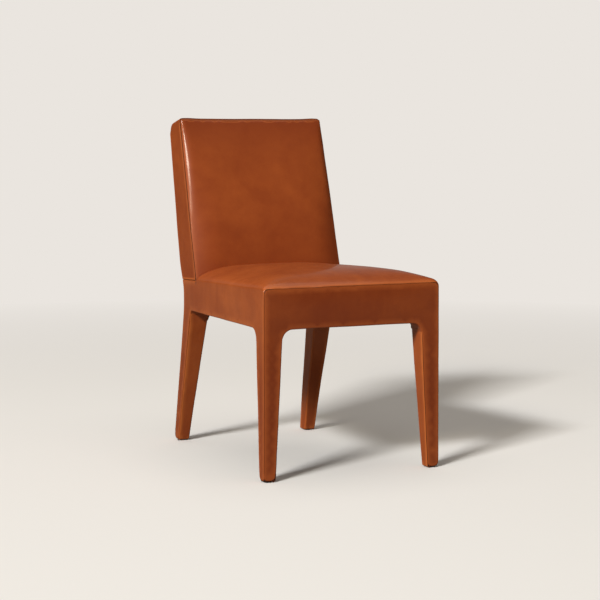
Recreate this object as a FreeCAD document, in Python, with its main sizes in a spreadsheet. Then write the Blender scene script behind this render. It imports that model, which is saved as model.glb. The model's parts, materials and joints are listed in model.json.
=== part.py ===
"""Leather-covered dining side chair: wooden frame, webbing, foam, sewn hide cover and foot glides.

Frame of the part: +Z up, the front of the chair faces -Y, X is across, the origin lies on the floor
under the middle of the chair. Depths are first given from the front face and then placed by deep().
"""

import FreeCAD, Part
import math
import os
import Sketcher

DRIVING_SIZES = (
    ("front_width", 500.0, "across the cover at the front legs"),
    ("rear_width", 435.0, "across the cover at the rear rail"),
    ("back_overhang", 117.0, "rear top corner of the back behind the rear apron"),
    ("apron_height", 383.0, "floor to the lower edge of the aprons"),
    ("seam_front", 485.0, "floor to the seat seam at the front"),
    ("seam_rear", 466.0, "floor to the seat seam at the rear apron"),
    ("seat_crown", 33.0, "rise of the seat over its seam, behind the rolled edge"),
    ("seat_bow", 3.0, "further rise in the middle of the seat"),
    ("seat_roll", 100.0, "width of the seat's rolled edge"),
    ("seat_depth", 508.0, "front face to the back's front seam at the seat"),
    ("back_depth", 100.0, "that seam to the rear face of the rear apron"),
    ("back_top", 913.0, "floor to the back's front top seam"),
    ("back_lean", 129.0, "how far the front seam leans back on its way up"),
    ("back_top_drop", 17.0, "fall of the top of the back from front to rear"),
    ("back_crown", 13.0, "swell of the front of the back inside its rolled edge"),
    ("back_bow", 3.0, "further swell in the middle of the back"),
    ("back_roll", 42.0, "width of the back's rolled edge"),
    ("bulge_height", 506.0, "floor to the fullest point low on the rear of the back"),
    ("bulge_reach", 32.0, "that point behind the rear apron"),
    ("flare_height", 441.0, "floor to where the rear apron starts to flare"),
    ("flare_reach", 11.0, "the rear seam behind the rear apron"),
    ("back_corner", 10.0, "radius of the rear top corner of the back"),
    ("front_leg_width", 52.0, "front leg across, at the apron"),
    ("front_leg_depth", 57.0, "front leg front to back, at the apron"),
    ("front_foot_width", 30.0, "front foot across"),
    ("front_foot_depth", 32.5, "front foot front to back"),
    ("rear_leg_width", 56.0, "rear leg across, at the apron"),
    ("rear_leg_depth", 55.0, "rear leg front to back, at the apron"),
    ("rear_foot_width", 29.5, "rear foot across"),
    ("rear_foot_depth", 33.0, "rear foot front to back"),
    ("rear_foot_reach", 89.0, "rear face of the foot behind the rear apron"),
    ("arch_radius", 28.0, "inner corners of the aprons"),
    ("rear_arch_radius", 15.0, "rear inner corner of a side apron"),
    ("hide", 1.5, "thickness of the leather"),
    ("lay", 0.2, "gap between pieces laid on each other"),
    ("rail_thickness", 22.0, "all rails"),
    ("rail_top", 448.0, "floor to the top of the seat rails"),
    ("haunch", 13.0, "gusset at the end of a rail, front, rear and front of the sides"),
    ("rear_haunch", 7.0, "gusset at the rear end of a side rail"),
    ("post_top", 868.0, "floor to the top of the back posts"),
    ("front_padding", 45.0, "from the front seam to the back post, at its top"),
    ("rear_padding", 14.5, "from the back post to the outside of the back, at its top"),
    ("top_rail_height", 50.0, "top rail of the back"),
    ("lower_rail_height", 45.0, "lower rail of the back"),
    ("lower_rail_bottom", 500.0, "floor to the lower rail of the back"),
    ("block_reach", 60.0, "corner block along each rail, past the leg"),
    ("block_bottom", 398.0, "floor to the corner blocks"),
    ("block_height", 40.0, "corner block"),
    ("dowel_radius", 5.0, "beech dowel"),
    ("dowel_length", 60.0, "beech dowel"),
    ("dowel_spacing", 30.0, "between the two dowels of a seat rail joint"),
    ("back_dowel_spacing", 22.0, "between the two dowels of a back rail joint"),
    ("bore_clearance", 0.15, "a hole's radius over its dowel, screw or nail"),
    ("screw_radius", 2.1, "corner block screw, shank"),
    ("screw_length", 50.0, "corner block screw, shank"),
    ("screw_head_radius", 4.5, "corner block screw"),
    ("screw_head_height", 2.5, "corner block screw"),
    ("screw_spacing", 20.0, "between the two screws of a corner block"),
    ("webbing_width", 50.0, "all webbing"),
    ("webbing_thickness", 1.5, "all webbing"),
    ("webbing_pitch", 72.0, "between the lengthwise webs of the seat"),
    ("cross_pitch", 88.0, "between the crosswise webs of the seat"),
    ("back_web_pitch", 68.0, "between the webs of the back, along the post"),
    ("dust_cover_thickness", 0.8, "woven dust cover"),
    ("dust_cover_margin", 10.0, "edge of the dust cover inside the rail's outer face"),
    ("staple_crown", 10.0, "staple, across"),
    ("staple_wire", 0.9, "staple, thickness of the wire"),
    ("staple_leg", 8.0, "staple, into the rail"),
    ("staple_pitch", 45.0, "between staples"),
    ("glide_radius", 10.0, "foot glide"),
    ("glide_height", 4.0, "foot glide"),
    ("glide_recess", 2.2, "depth of the recess for the nail's head"),
    ("nail_radius", 1.25, "glide nail, shank"),
    ("nail_length", 20.0, "glide nail, shank"),
    ("nail_head_radius", 3.0, "glide nail"),
    ("nail_head_height", 1.0, "glide nail"),
)

SIDES = (("left", -1), ("right", 1))
LENGTHWISE_WEBS = 4
CROSSWISE_WEBS = 5
BACK_WEBS = 5
ROLL_SHARES = (0.0, 0.12, 0.28, 0.5, 0.75, 1.0)
LEAST_RISE = 0.5

doc = FreeCAD.newDocument("dining_chair")
sheet = doc.addObject("Spreadsheet::Sheet", "Sizes")
for row, (alias, value, note) in enumerate(DRIVING_SIZES, start=1):
    sheet.set("A%d" % row, note)
    sheet.set("B%d" % row, str(value))
    sheet.setAlias("B%d" % row, alias)
doc.recompute()


class Size:
    """A length that knows its value and the expression that ties it to the sheet."""

    def __init__(self, value, text):
        self.value = float(value)
        self.text = text

    def join(self, other, sign, result, turned=False):
        """Return the size of two operands, with its expression."""
        other_text = other.text if isinstance(other, Size) else repr(float(other))
        first, second = (other_text, self.text) if turned else (self.text, other_text)
        return Size(result, "(%s %s %s)" % (first, sign, second))

    def __float__(self):
        return self.value

    def __add__(self, other):
        return self.join(other, "+", self.value + float(other))

    __radd__ = __add__

    def __sub__(self, other):
        return self.join(other, "-", self.value - float(other))

    def __rsub__(self, other):
        return self.join(other, "-", float(other) - self.value, turned=True)

    def __mul__(self, other):
        return self.join(other, "*", self.value * float(other))

    __rmul__ = __mul__

    def __truediv__(self, other):
        return self.join(other, "/", self.value / float(other))

    def __neg__(self):
        return self * -1


def size(alias):
    """Read one driving dimension from the sheet."""
    return Size(getattr(sheet, alias), "Sizes." + alias)


front_width = size("front_width")
seat_depth = size("seat_depth")
frame_depth = seat_depth + size("back_depth")
apron_height = size("apron_height")
seam_front = size("seam_front")
back_top = size("back_top")
hide = size("hide")
lay = size("lay")
rail_top = size("rail_top")
rail_thickness = size("rail_thickness")
post_top = size("post_top")
webbing_thickness = size("webbing_thickness")
glide_height = size("glide_height")
arch_radius = size("arch_radius")

cover = hide + lay
rear_corner_depth = frame_depth + size("back_overhang")
side_slope = (front_width - size("rear_width")) / 2 / frame_depth
seam_slope = (seam_front - size("seam_rear")) / frame_depth
seam_edge = frame_depth + size("flare_reach")
rail_bottom = apron_height + cover
side_rail_top = rail_top + lay + webbing_thickness
foam_bottom = side_rail_top + lay + webbing_thickness + lay
rear_leg_front = frame_depth - size("rear_leg_depth")
rear_foot_rear = frame_depth + size("rear_foot_reach")
rear_foot_front = rear_foot_rear - size("rear_foot_depth")
haunch_step = cover + lay


def half_at(depth):
    """Half of the cover's width at a depth from the front."""
    return front_width / 2 - side_slope * depth


def seam_at(depth):
    """Height of the seat seam at a depth from the front."""
    return seam_front - seam_slope * depth


def between(start, end, share_from, share_to, at):
    """Straight line from start, at share_from, to end, at share_to."""
    return start + (end - start) * ((at - share_from) / (share_to - share_from))


seat_line = seam_at(seat_depth)
back_rear_top = back_top - size("back_top_drop")
panel_top = back_rear_top - size("back_corner")
bulge_depth = frame_depth + size("bulge_reach")
bulge_height = size("bulge_height")


def back_front_at(height):
    """Depth of the back's front seam at a height."""
    return between(seat_depth, seat_depth + size("back_lean"), seat_line, back_top, height)


def back_rear_at(height):
    """Depth of the outside of the back at a height above its fullest point."""
    return between(bulge_depth, rear_corner_depth, bulge_height, back_rear_top, height)


def top_line_at(depth):
    """Height of the top of the back at a depth."""
    start = seat_depth + size("back_lean")
    return between(back_top, back_rear_top, start, rear_corner_depth, depth)


overall_depth = back_rear_at(panel_top)
middle_depth = overall_depth / 2


def deep(depth):
    """Place a depth, measured from the front face, on the part's Y axis."""
    return depth - middle_depth


post_front_foot = rear_leg_front + cover
post_rear_foot = frame_depth - cover
post_front_head = back_front_at(post_top) + size("front_padding")
post_rear_head = back_rear_at(post_top) - size("rear_padding")


def post_front_at(height):
    """Depth of a back post's front face at a height."""
    return between(post_front_foot, post_front_head, rail_top, post_top, height)


def post_rear_at(height):
    """Depth of a back post's rear face at a height."""
    return between(post_rear_foot, post_rear_head, rail_top, post_top, height)


front_leg_inner = front_width / 2 - size("front_leg_width") + cover
front_leg_rear = size("front_leg_depth") - cover
rear_leg_inner = half_at(rear_leg_front) - size("rear_leg_width") + cover
rear_foot_inner = half_at(rear_foot_front) - size("rear_foot_width") + cover

pieces = {}


def keep(item, label):
    """Name a finished sub-part; the name is also its file's name."""
    item.Label = label
    pieces[label] = item
    return item


def origin_plane(body, role):
    """Find one of a body's own origin planes."""
    return next(plane for plane in body.Origin.OriginFeatures if plane.Role == role)


def corner_ends(points, radii, index):
    """Where the two lines at a corner stop, and the middle of the arc between them."""
    corner = points[index]
    if radii[index] is None:
        return corner, corner, None
    back = (points[index - 1] - corner).normalize()
    ahead = (points[(index + 1) % len(points)] - corner).normalize()
    half_angle = back.getAngle(ahead) / 2
    radius = float(radii[index])
    reach = radius / math.tan(half_angle)
    inward = (back + ahead).normalize()
    arc_middle = corner + inward * (radius / math.sin(half_angle) - radius)
    return corner + back * reach, corner + ahead * reach, arc_middle


def outline(body, name, role, offset, corners):
    """Draw a closed outline; a corner is (across, up) or (across, up, radius), all tied to the sheet."""
    sketch = body.newObject("Sketcher::SketchObject", name)
    sketch.AttachmentSupport = [(origin_plane(body, role), "")]
    sketch.MapMode = "FlatFace"
    sketch.setExpression("AttachmentOffset.Base.z", offset.text)
    points = [FreeCAD.Vector(float(corner[0]), float(corner[1]), 0) for corner in corners]
    radii = [corner[2] if len(corner) > 2 else None for corner in corners]
    ends = [corner_ends(points, radii, index) for index in range(len(corners))]
    lines = []
    for index in range(len(corners)):
        following = ends[(index + 1) % len(corners)]
        lines.append(sketch.addGeometry(Part.LineSegment(ends[index][1], following[0])))
    for index, corner in enumerate(corners):
        before, after = lines[index - 1], lines[index]
        if radii[index] is None:
            sketch.addConstraint(Sketcher.Constraint("Coincident", before, 2, after, 1))
            place_point(sketch, after, corner)
        else:
            round_corner(sketch, before, after, ends[index], radii[index])
            apex = sketch.addGeometry(Part.Point(points[index]), True)
            sketch.addConstraint(Sketcher.Constraint("PointOnObject", apex, 1, before))
            sketch.addConstraint(Sketcher.Constraint("PointOnObject", apex, 1, after))
            place_point(sketch, apex, corner)
    return sketch


def place_point(sketch, geometry, corner):
    """Hold a geometry's first point at its place on the two axes."""
    for kind, distance in (("DistanceX", corner[0]), ("DistanceY", corner[1])):
        index = sketch.addConstraint(
            Sketcher.Constraint(kind, -1, 1, geometry, 1, float(distance)))
        sketch.setExpression("Constraints[%d]" % index, distance.text)


def round_corner(sketch, before, after, ends, radius):
    """Join two lines by an arc that is tangent to both."""
    start, stop, middle = ends
    arc = sketch.addGeometry(Part.Arc(start, middle, stop))
    first, last = 1, 2
    if sketch.getPoint(arc, 1).distanceToPoint(start) > sketch.getPoint(arc, 2).distanceToPoint(start):
        first, last = 2, 1
    sketch.addConstraint(Sketcher.Constraint("Tangent", before, 2, arc, first))
    sketch.addConstraint(Sketcher.Constraint("Tangent", arc, last, after, 1))
    index = sketch.addConstraint(Sketcher.Constraint("Radius", arc, float(radius)))
    sketch.setExpression("Constraints[%d]" % index, radius.text)


def padded_body(name, role, offset, corners, length, backwards=False, both_ways=False):
    """Make a body from one outline, padded along its plane's normal."""
    body = doc.addObject("PartDesign::Body", name)
    add_pad(body, outline(body, name + "_outline", role, offset, corners), length,
            backwards, both_ways)
    return body


def add_pad(body, sketch, length, backwards=False, both_ways=False):
    """Pad a sketch of a body by a bound length."""
    pad = body.newObject("PartDesign::Pad", sketch.Name + "_pad")
    pad.Profile = sketch
    pad.setExpression("Length", length.text)
    pad.Reversed = backwards
    if both_ways:
        pad.SideType = "Symmetric"
    return pad


def add_loft(body, first, second):
    """Join two sketches of a body by straight sides."""
    loft = body.newObject("PartDesign::AdditiveLoft", first.Name + "_taper")
    loft.Profile = first
    loft.Sections = [second]
    loft.Ruled = True
    return loft


def combine(kind, name, first, second):
    """Cut, intersect or fuse two shapes; kind is a Part boolean's own name."""
    result = doc.addObject("Part::" + kind, name)
    result.Base = first
    result.Tool = second
    return result


def group(name, members):
    """Hold separate solids as one object."""
    compound = doc.addObject("Part::Compound", name)
    compound.Links = members
    return compound


def side_prism(name, corners, reach):
    """Extrude a side view, given as (depth, height), across the whole chair."""
    placed = [(deep(corner[0]),) + tuple(corner[1:]) for corner in corners]
    return padded_body(name, "YZ_Plane", lay * 0, placed, reach, both_ways=True)


def plan_prism(name, inset, bottom, top):
    """Extrude the chair's plan, drawn in by an inset, between two heights."""
    near = -lay * 50
    far = overall_depth + lay * 50
    corners = []
    for sign, depth in ((-1, near), (1, near), (1, far), (-1, far)):
        corners.append(((half_at(depth) - inset) * sign, deep(depth)))
    return padded_body(name, "XY_Plane", bottom, corners, top - bottom)


def side_strip(name, sign, outer_inset, thickness, bottom, top):
    """Extrude an upright strip that follows one side of the plan."""
    near = lay * 0
    far = overall_depth
    corners = []
    for inset, depth in ((outer_inset, near), (outer_inset, far),
                         (outer_inset + thickness, far), (outer_inset + thickness, near)):
        corners.append(((half_at(depth) - inset) * sign, deep(depth)))
    return padded_body(name, "XY_Plane", bottom, corners, top - bottom)


def cylinder(name, radius, length, base, direction):
    """Set a cylinder on a point, pointing along a direction."""
    item = doc.addObject("Part::Cylinder", name)
    item.setExpression("Radius", radius.text)
    item.setExpression("Height", length.text)
    turn = FreeCAD.Rotation(FreeCAD.Vector(0, 0, 1), direction)
    item.Placement = FreeCAD.Placement(base, turn)
    return item


def box(name, low, length, width, height, turn=None):
    """Set a box by its low corner, with an optional turn about that corner."""
    item = doc.addObject("Part::Box", name)
    item.setExpression("Length", length.text)
    item.setExpression("Width", width.text)
    item.setExpression("Height", height.text)
    item.Placement = FreeCAD.Placement(low, turn or FreeCAD.Rotation())
    return item


def point(across, depth, height):
    """Place a point given across, from the front and from the floor."""
    return FreeCAD.Vector(float(across), float(deep(depth)), float(height))


# Holes for dowels, screws, nails and staples

def dowel_seats():
    """List each dowel's middle and the axis that it lies along."""
    seats = []
    rail_middle = (rail_bottom + rail_top) / 2
    front_depth = cover + rail_thickness / 2
    rear_depth = frame_depth - cover - rail_thickness / 2
    across = FreeCAD.Vector(1, 0, 0)
    along = FreeCAD.Vector(0, 1, 0)
    for _, sign in SIDES:
        for shift in (-1, 1):
            height = rail_middle + size("dowel_spacing") / 2 * shift
            seats.append((point(front_leg_inner * sign, front_depth, height), across))
            seats.append((point(rear_leg_inner * sign, rear_depth, height), across))
            for depth in (front_leg_rear, post_front_foot):
                outward = half_at(depth) - cover - rail_thickness / 2
                seats.append((point(outward * sign, depth, height), along))
            for bottom, tall in back_rails():
                level = bottom + tall / 2 + size("back_dowel_spacing") / 2 * shift
                depth = post_front_at(level) + rail_thickness / 2
                seats.append((point(rear_leg_inner * sign, depth, level), across))
    return seats


def back_rails():
    """Bottom and height of the top rail and of the lower rail of the back."""
    top_rail = (post_top - size("top_rail_height"), size("top_rail_height"))
    lower_rail = (size("lower_rail_bottom"), size("lower_rail_height"))
    return top_rail, lower_rail


def block_corners(sign, at_front):
    """Plan of a corner block: two rail faces, the leg between them and the long inner face."""
    reach = size("block_reach")
    if at_front:
        leg_inner, leg_face, inward = front_leg_inner, front_leg_rear, 1
        rail_face = cover + rail_thickness
    else:
        leg_inner, leg_face, inward = rear_leg_inner, post_front_foot, -1
        rail_face = frame_depth - cover - rail_thickness
    end = leg_face + reach * inward
    inset = cover + rail_thickness
    plan = ((leg_inner, rail_face), (leg_inner - reach, rail_face),
            (half_at(end) - inset, end), (half_at(leg_face) - inset, leg_face),
            (leg_inner, leg_face))
    return [(across * sign, depth) for across, depth in plan]


def screw_seats():
    """List where each corner block screw enters the long face, and its direction."""
    seats = []
    for _, sign in SIDES:
        for at_front in (True, False):
            corners = [point(across, depth, 0) for across, depth in block_corners(sign, at_front)]
            face = corners[2] - corners[1]
            middle = corners[1] + face * 0.5
            inward = FreeCAD.Vector(face.y, -face.x, 0).normalize()
            if inward.dot(corners[4] - middle) < 0:
                inward = inward * -1
            level = float(size("block_bottom") + size("block_height") / 2)
            for shift in (-0.5, 0.5):
                height = level + shift * float(size("screw_spacing"))
                seats.append((middle + FreeCAD.Vector(0, 0, height), inward))
    return seats


def foot_centres():
    """Middle of each foot, by the name of its leg."""
    centres = {}
    for side, sign in SIDES:
        front = front_width / 2 - size("front_foot_width") / 2
        depth = rear_foot_front + size("rear_foot_depth") / 2
        rear = half_at(depth) - size("rear_foot_width") / 2
        centres["front_" + side] = (front * sign, size("front_foot_depth") / 2)
        centres["back_" + side] = (rear * sign, depth)
    return centres


def staple_seats():
    """List each dust cover staple's middle and whether it lies along the chair's depth."""
    seats = []
    pitch = float(size("staple_pitch"))
    inset = cover + rail_thickness / 2 + lay * 10
    clear = float(size("haunch") + haunch_step + size("staple_crown") * 2)
    runs = ((inset, float(front_leg_inner) - clear), (frame_depth - inset, float(rear_leg_inner) - clear))
    for depth, half_run in runs:
        count = 2 * int(half_run // pitch) + 1
        for index in range(count):
            seats.append((point((index - count // 2) * pitch, depth, 0), False))
    first = float(front_leg_rear) + clear
    last = float(post_front_foot) - clear
    count = int((last - first) // pitch) + 1
    for _, sign in SIDES:
        for index in range(count):
            depth = (first + last) / 2 + (index - (count - 1) / 2) * pitch
            across = (half_at(depth) - inset) * sign
            seats.append((point(across, depth, 0), True))
    return seats


def staple_shape(middle, along_depth, spare):
    """Bend one staple: a crown under the dust cover and two legs up into the rail."""
    crown = float(size("staple_crown")) / 2 + spare
    wire = float(size("staple_wire"))
    leg = float(size("staple_leg"))
    top = float(rail_bottom - lay - size("dust_cover_thickness") - lay)
    low = top - wire
    reach = float(rail_bottom) + leg + spare
    inner = crown - wire - 2 * spare
    corners = ((-crown, low), (crown, low), (crown, reach), (inner, reach),
               (inner, top), (-inner, top), (-inner, reach), (-crown, reach))
    loop = [FreeCAD.Vector(across, -wire / 2 - spare, height) for across, height in corners]
    face = Part.Face(Part.makePolygon(loop + loop[:1]))
    staple = face.extrude(FreeCAD.Vector(0, wire + 2 * spare, 0))
    if along_depth:
        staple.rotate(FreeCAD.Vector(), FreeCAD.Vector(0, 0, 1), 90)
    staple.translate(middle)
    return staple


def feature(name, shape):
    """Hold a shape made with Part's own functions."""
    item = doc.addObject("Part::Feature", name)
    item.Shape = shape
    return item


bore_clearance = size("bore_clearance")


def make_dowels():
    """Make the dowels as one group, and the bores that take them."""
    dowels = []
    bores = []
    length = size("dowel_length")
    for number, (middle, axis) in enumerate(dowel_seats(), start=1):
        base = middle - axis * (float(length) / 2)
        dowels.append(cylinder("dowel_%d" % number, size("dowel_radius"), length, base, axis))
        bore_length = length + bore_clearance * 4
        bore_base = middle - axis * (float(bore_length) / 2)
        bores.append(cylinder("dowel_bore_%d" % number, size("dowel_radius") + bore_clearance,
                              bore_length, bore_base, axis))
    keep(group("dowels", dowels), "frame_dowels")
    return bores


def make_screws():
    """Make the corner block screws as one group, and the bores that take them."""
    screws = []
    bores = []
    for number, (seat, axis) in enumerate(screw_seats(), start=1):
        shank = cylinder("screw_shank_%d" % number, size("screw_radius"), size("screw_length"),
                         seat, axis)
        head = cylinder("screw_head_%d" % number, size("screw_head_radius"),
                        size("screw_head_height"), seat, axis * -1)
        screws.append(combine("Fuse", "screw_%d" % number, shank, head))
        bores.append(cylinder("screw_bore_%d" % number, size("screw_radius") + bore_clearance,
                              size("screw_length") + bore_clearance * 4, seat, axis))
    keep(group("screws", screws), "corner_block_screws")
    return bores


def make_glides():
    """Make the four foot glides, their nails as one group, and the bores for the nails."""
    nails = []
    bores = []
    up = FreeCAD.Vector(0, 0, 1)
    recess = size("glide_recess")
    for name, (across, depth) in foot_centres().items():
        floor = point(across, depth, 0)
        head_top = point(across, depth, recess)
        disc = cylinder("glide_disc_" + name, size("glide_radius"), glide_height, floor, up)
        bore = cylinder("glide_bore_" + name, size("nail_radius") + bore_clearance,
                        glide_height, floor, up)
        sink = cylinder("glide_sink_" + name, size("nail_head_radius") + bore_clearance,
                        recess, floor, up)
        hole = combine("Fuse", "glide_hole_" + name, bore, sink)
        keep(combine("Cut", "glide_cut_" + name, disc, hole), "foot_glide_" + name)
        shank = cylinder("nail_shank_" + name, size("nail_radius"), size("nail_length"),
                         head_top, up)
        head = cylinder("nail_head_" + name, size("nail_head_radius"), size("nail_head_height"),
                        head_top, up * -1)
        nails.append(combine("Fuse", "nail_" + name, shank, head))
        bores.append(cylinder("nail_bore_" + name, size("nail_radius") + bore_clearance,
                              size("nail_length") + bore_clearance * 4, head_top, up))
    keep(group("nails", nails), "glide_nails")
    return bores


def make_staples():
    """Make the dust cover's staples as one group, and the slots that take them."""
    seats = staple_seats()
    staples = [staple_shape(middle, turned, 0.0) for middle, turned in seats]
    slots = [staple_shape(middle, turned, float(bore_clearance)) for middle, turned in seats]
    keep(feature("staples", Part.Compound(staples)), "dust_cover_staples")
    return feature("staple_slots", Part.Compound(slots))


# Wooden frame

def front_leg(side, sign, bores):
    """Tapered front leg, square to the front, with its block between the rails."""
    body = doc.addObject("PartDesign::Body", "front_leg_%s_body" % side)
    sections = []
    levels = ((glide_height, size("front_foot_width"), size("front_foot_depth")),
              (apron_height, size("front_leg_width"), size("front_leg_depth")))
    for level, width, depth in levels:
        inner = front_width / 2 - width + cover
        rear = depth - cover
        corners = ((half_at(cover) - cover, cover), (inner, cover), (inner, rear),
                   (half_at(rear) - cover, rear))
        placed = [(across * sign, deep(far)) for across, far in corners]
        name = "front_leg_%s_section_%d" % (side, len(sections))
        sections.append(outline(body, name, "XY_Plane", level, placed))
    add_loft(body, *sections)
    add_pad(body, sections[1], rail_top - apron_height)
    keep(combine("Cut", "front_leg_%s_cut" % side, body, bores), "front_leg_" + side)


def back_leg(side, sign, bores):
    """Rear leg that rakes back to its foot, with the raked post of the back above it."""
    body = doc.addObject("PartDesign::Body", "back_leg_%s_body" % side)
    levels = (
        (glide_height, rear_foot_inner, rear_foot_front + cover, rear_foot_rear - cover),
        (apron_height, rear_leg_inner, post_front_foot, post_rear_foot),
        (rail_top, rear_leg_inner, post_front_foot, post_rear_foot),
        (post_top, rear_leg_inner, post_front_head, post_rear_head),
    )
    sections = []
    for level, inner, near, far in levels:
        corners = ((half_at(near) - cover, near), (inner, near), (inner, far),
                   (half_at(far) - cover, far))
        placed = [(across * sign, deep(depth)) for across, depth in corners]
        name = "back_leg_%s_section_%d" % (side, len(sections))
        sections.append(outline(body, name, "XY_Plane", level, placed))
    add_loft(body, sections[0], sections[1])
    add_pad(body, sections[1], rail_top - apron_height)
    add_loft(body, sections[2], sections[3])
    keep(combine("Cut", "back_leg_%s_cut" % side, body, bores), "back_leg_" + side)


def arched_rail(start, end, top, start_haunch, end_haunch):
    """Outline of a rail with a gusset under each end, clear of the sleeve on the leg."""
    low = rail_bottom
    near = start + haunch_step
    far = end - haunch_step
    return ((start, top), (start, low), (near, low), (near, low - start_haunch),
            (near + start_haunch, low), (far - end_haunch, low), (far, low - end_haunch),
            (far, low), (end, low), (end, top))


def cross_rail(name, half_length, depth, bores):
    """Front or rear seat rail, between the legs."""
    gusset = size("haunch")
    corners = arched_rail(-half_length, half_length, rail_top, gusset, gusset)
    body = padded_body(name + "_body", "XZ_Plane", -deep(depth), corners, rail_thickness,
                       backwards=True)
    keep(combine("Cut", name + "_cut", body, bores), name)


def side_rail(side, sign, bores):
    """Side seat rail, which follows the taper of the plan."""
    name = "seat_rail_" + side
    corners = arched_rail(front_leg_rear, post_front_foot, side_rail_top,
                          size("haunch"), size("rear_haunch"))
    profile = side_prism(name + "_profile", corners, front_width)
    strip = side_strip(name + "_strip", sign, cover, rail_thickness,
                       rail_bottom - size("haunch") * 2, side_rail_top + lay)
    body = combine("Common", name + "_body", profile, strip)
    keep(combine("Cut", name + "_cut", body, bores), name)


def back_rail(name, bottom, tall, bores):
    """Rail between the back posts, leaning with them."""
    corners = []
    for depth_shift, level in ((lay * 0, bottom), (rail_thickness, bottom),
                               (rail_thickness, bottom + tall), (lay * 0, bottom + tall)):
        corners.append((post_front_at(level) + depth_shift, level))
    body = side_prism(name + "_body", corners, rear_leg_inner * 2)
    keep(combine("Cut", name + "_cut", body, bores), name)


def corner_block(side, sign, end, at_front, bores):
    """Glued block behind a seat rail joint, shaped round the leg."""
    name = "corner_block_%s_%s" % (end, side)
    corners = [(across, deep(depth)) for across, depth in block_corners(sign, at_front)]
    body = padded_body(name + "_body", "XY_Plane", size("block_bottom"), corners,
                       size("block_height"))
    keep(combine("Cut", name + "_cut", body, bores), name)


def wooden_frame(leg_bores, rail_bores, block_bores):
    """Build the legs, the rails and the corner blocks."""
    for side, sign in SIDES:
        front_leg(side, sign, leg_bores)
        back_leg(side, sign, leg_bores)
        side_rail(side, sign, rail_bores)
        corner_block(side, sign, "front", True, block_bores)
        corner_block(side, sign, "back", False, block_bores)
    cross_rail("seat_rail_front", front_leg_inner, cover, rail_bores)
    cross_rail("seat_rail_back", rear_leg_inner, frame_depth - cover - rail_thickness, rail_bores)
    for name, (bottom, tall) in zip(("back_top_rail", "back_lower_rail"), back_rails()):
        back_rail(name, bottom, tall, rail_bores)


# Webbing

def seat_webbing():
    """Lay the lengthwise webs on the end rails and the crosswise webs on the side rails."""
    width = size("webbing_width")
    margin = cover + rail_thickness / 4
    lengthwise = []
    for index in range(LENGTHWISE_WEBS):
        across = size("webbing_pitch") * (index - (LENGTHWISE_WEBS - 1) / 2) - width / 2
        low = point(across, margin, rail_top + lay)
        lengthwise.append(box("long_web_%d" % index, low, width, frame_depth - margin * 2,
                              webbing_thickness))
    keep(group("long_webs", lengthwise), "seat_webbing_lengthwise")
    crosswise = []
    middle = (front_leg_rear + post_front_foot) / 2
    for index in range(CROSSWISE_WEBS):
        near = middle + size("cross_pitch") * (index - (CROSSWISE_WEBS - 1) / 2) - width / 2
        half_length = half_at(near + width) - margin
        low = point(-half_length, near, side_rail_top + lay)
        crosswise.append(box("cross_web_%d" % index, low, half_length * 2, width,
                             webbing_thickness))
    keep(group("cross_webs", crosswise), "seat_webbing_crosswise")


def back_webbing():
    """Stretch level webs across the fronts of the back posts, leaning with them."""
    width = size("webbing_width")
    half_length = rear_leg_inner + size("rear_leg_width") / 2
    rise = float(post_top - rail_top)
    lean = math.degrees(math.atan2(float(post_front_head - post_front_foot), rise))
    turn = FreeCAD.Rotation(FreeCAD.Vector(1, 0, 0), -lean)
    ahead = turn.multVec(FreeCAD.Vector(0, -1, 0))
    upward = turn.multVec(FreeCAD.Vector(0, 0, 1))
    middle_level = (size("lower_rail_bottom") + post_top) / 2
    middle = point(-half_length, post_front_at(middle_level), middle_level)
    webs = []
    for index in range(BACK_WEBS):
        shift = size("back_web_pitch") * (index - (BACK_WEBS - 1) / 2) - width / 2
        low = middle + upward * float(shift) + ahead * float(webbing_thickness + lay)
        webs.append(box("back_web_%d" % index, low, half_length * 2, webbing_thickness, width,
                        turn))
    keep(group("back_webs", webs), "back_webbing")


# Crowned forms

def arc_drop(run, roll, rise):
    """Fall of a rolled edge's arc at a run from its level end."""
    radius = (roll * roll + rise * rise) / (2 * rise)
    return radius - math.sqrt(radius * radius - run * run)


def crown_section(place, half, roll, wall, rise, bow, base):
    """One closed section: a flat base, two short walls, two rolled edges and a bowed top."""
    edge = roll / 2
    mid_height = wall + rise - arc_drop(roll - edge, roll, rise)
    left = place(-half, wall)
    right = place(half, wall)
    left_top = place(-half + roll, wall + rise)
    right_top = place(half - roll, wall + rise)
    edges = [
        Part.LineSegment(place(-half, -base), place(half, -base)),
        Part.LineSegment(place(half, -base), right),
        Part.Arc(right, place(half - edge, mid_height), right_top),
        Part.Arc(right_top, place(0, wall + rise + bow), left_top),
        Part.Arc(left_top, place(-half + edge, mid_height), left),
        Part.LineSegment(left, place(-half, -base)),
    ]
    return Part.Wire([edge_curve.toShape() for edge_curve in edges])


def crowned_cap(name, place_at, half_of, end, roll, rise, bow, inset, base):
    """Loft a crowned cap from its rolled end, at inset, to its open end."""
    roll, rise, bow, inset, base = (float(value) for value in (roll, rise, bow, inset, base))
    wall = float(hide)
    run = roll - inset
    lift = rise - inset
    stations = [(inset + share * run, share) for share in ROLL_SHARES]
    stations.append((float(end), 1.0))
    sections = []
    for station, share in stations:
        height = max(lift - arc_drop(run * (1 - share), run, lift), LEAST_RISE)
        place = place_at(station)
        half = float(half_of(station)) - inset
        sections.append(crown_section(place, half, run, wall - inset * 0.5, height,
                                      bow * height / lift, base))
    return feature(name, Part.makeLoft(sections, True, True))


def seat_cap(name, inset, base):
    """Crown of the seat over the seam plane, rolled at the front and the sides."""
    def place_at(depth):
        def place(across, height):
            return point(across, depth, float(seam_at(depth)) + height)
        return place
    return crowned_cap(name, place_at, half_at, rear_leg_front, size("seat_roll"),
                       size("seat_crown"), size("seat_bow"), inset, base)


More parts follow.
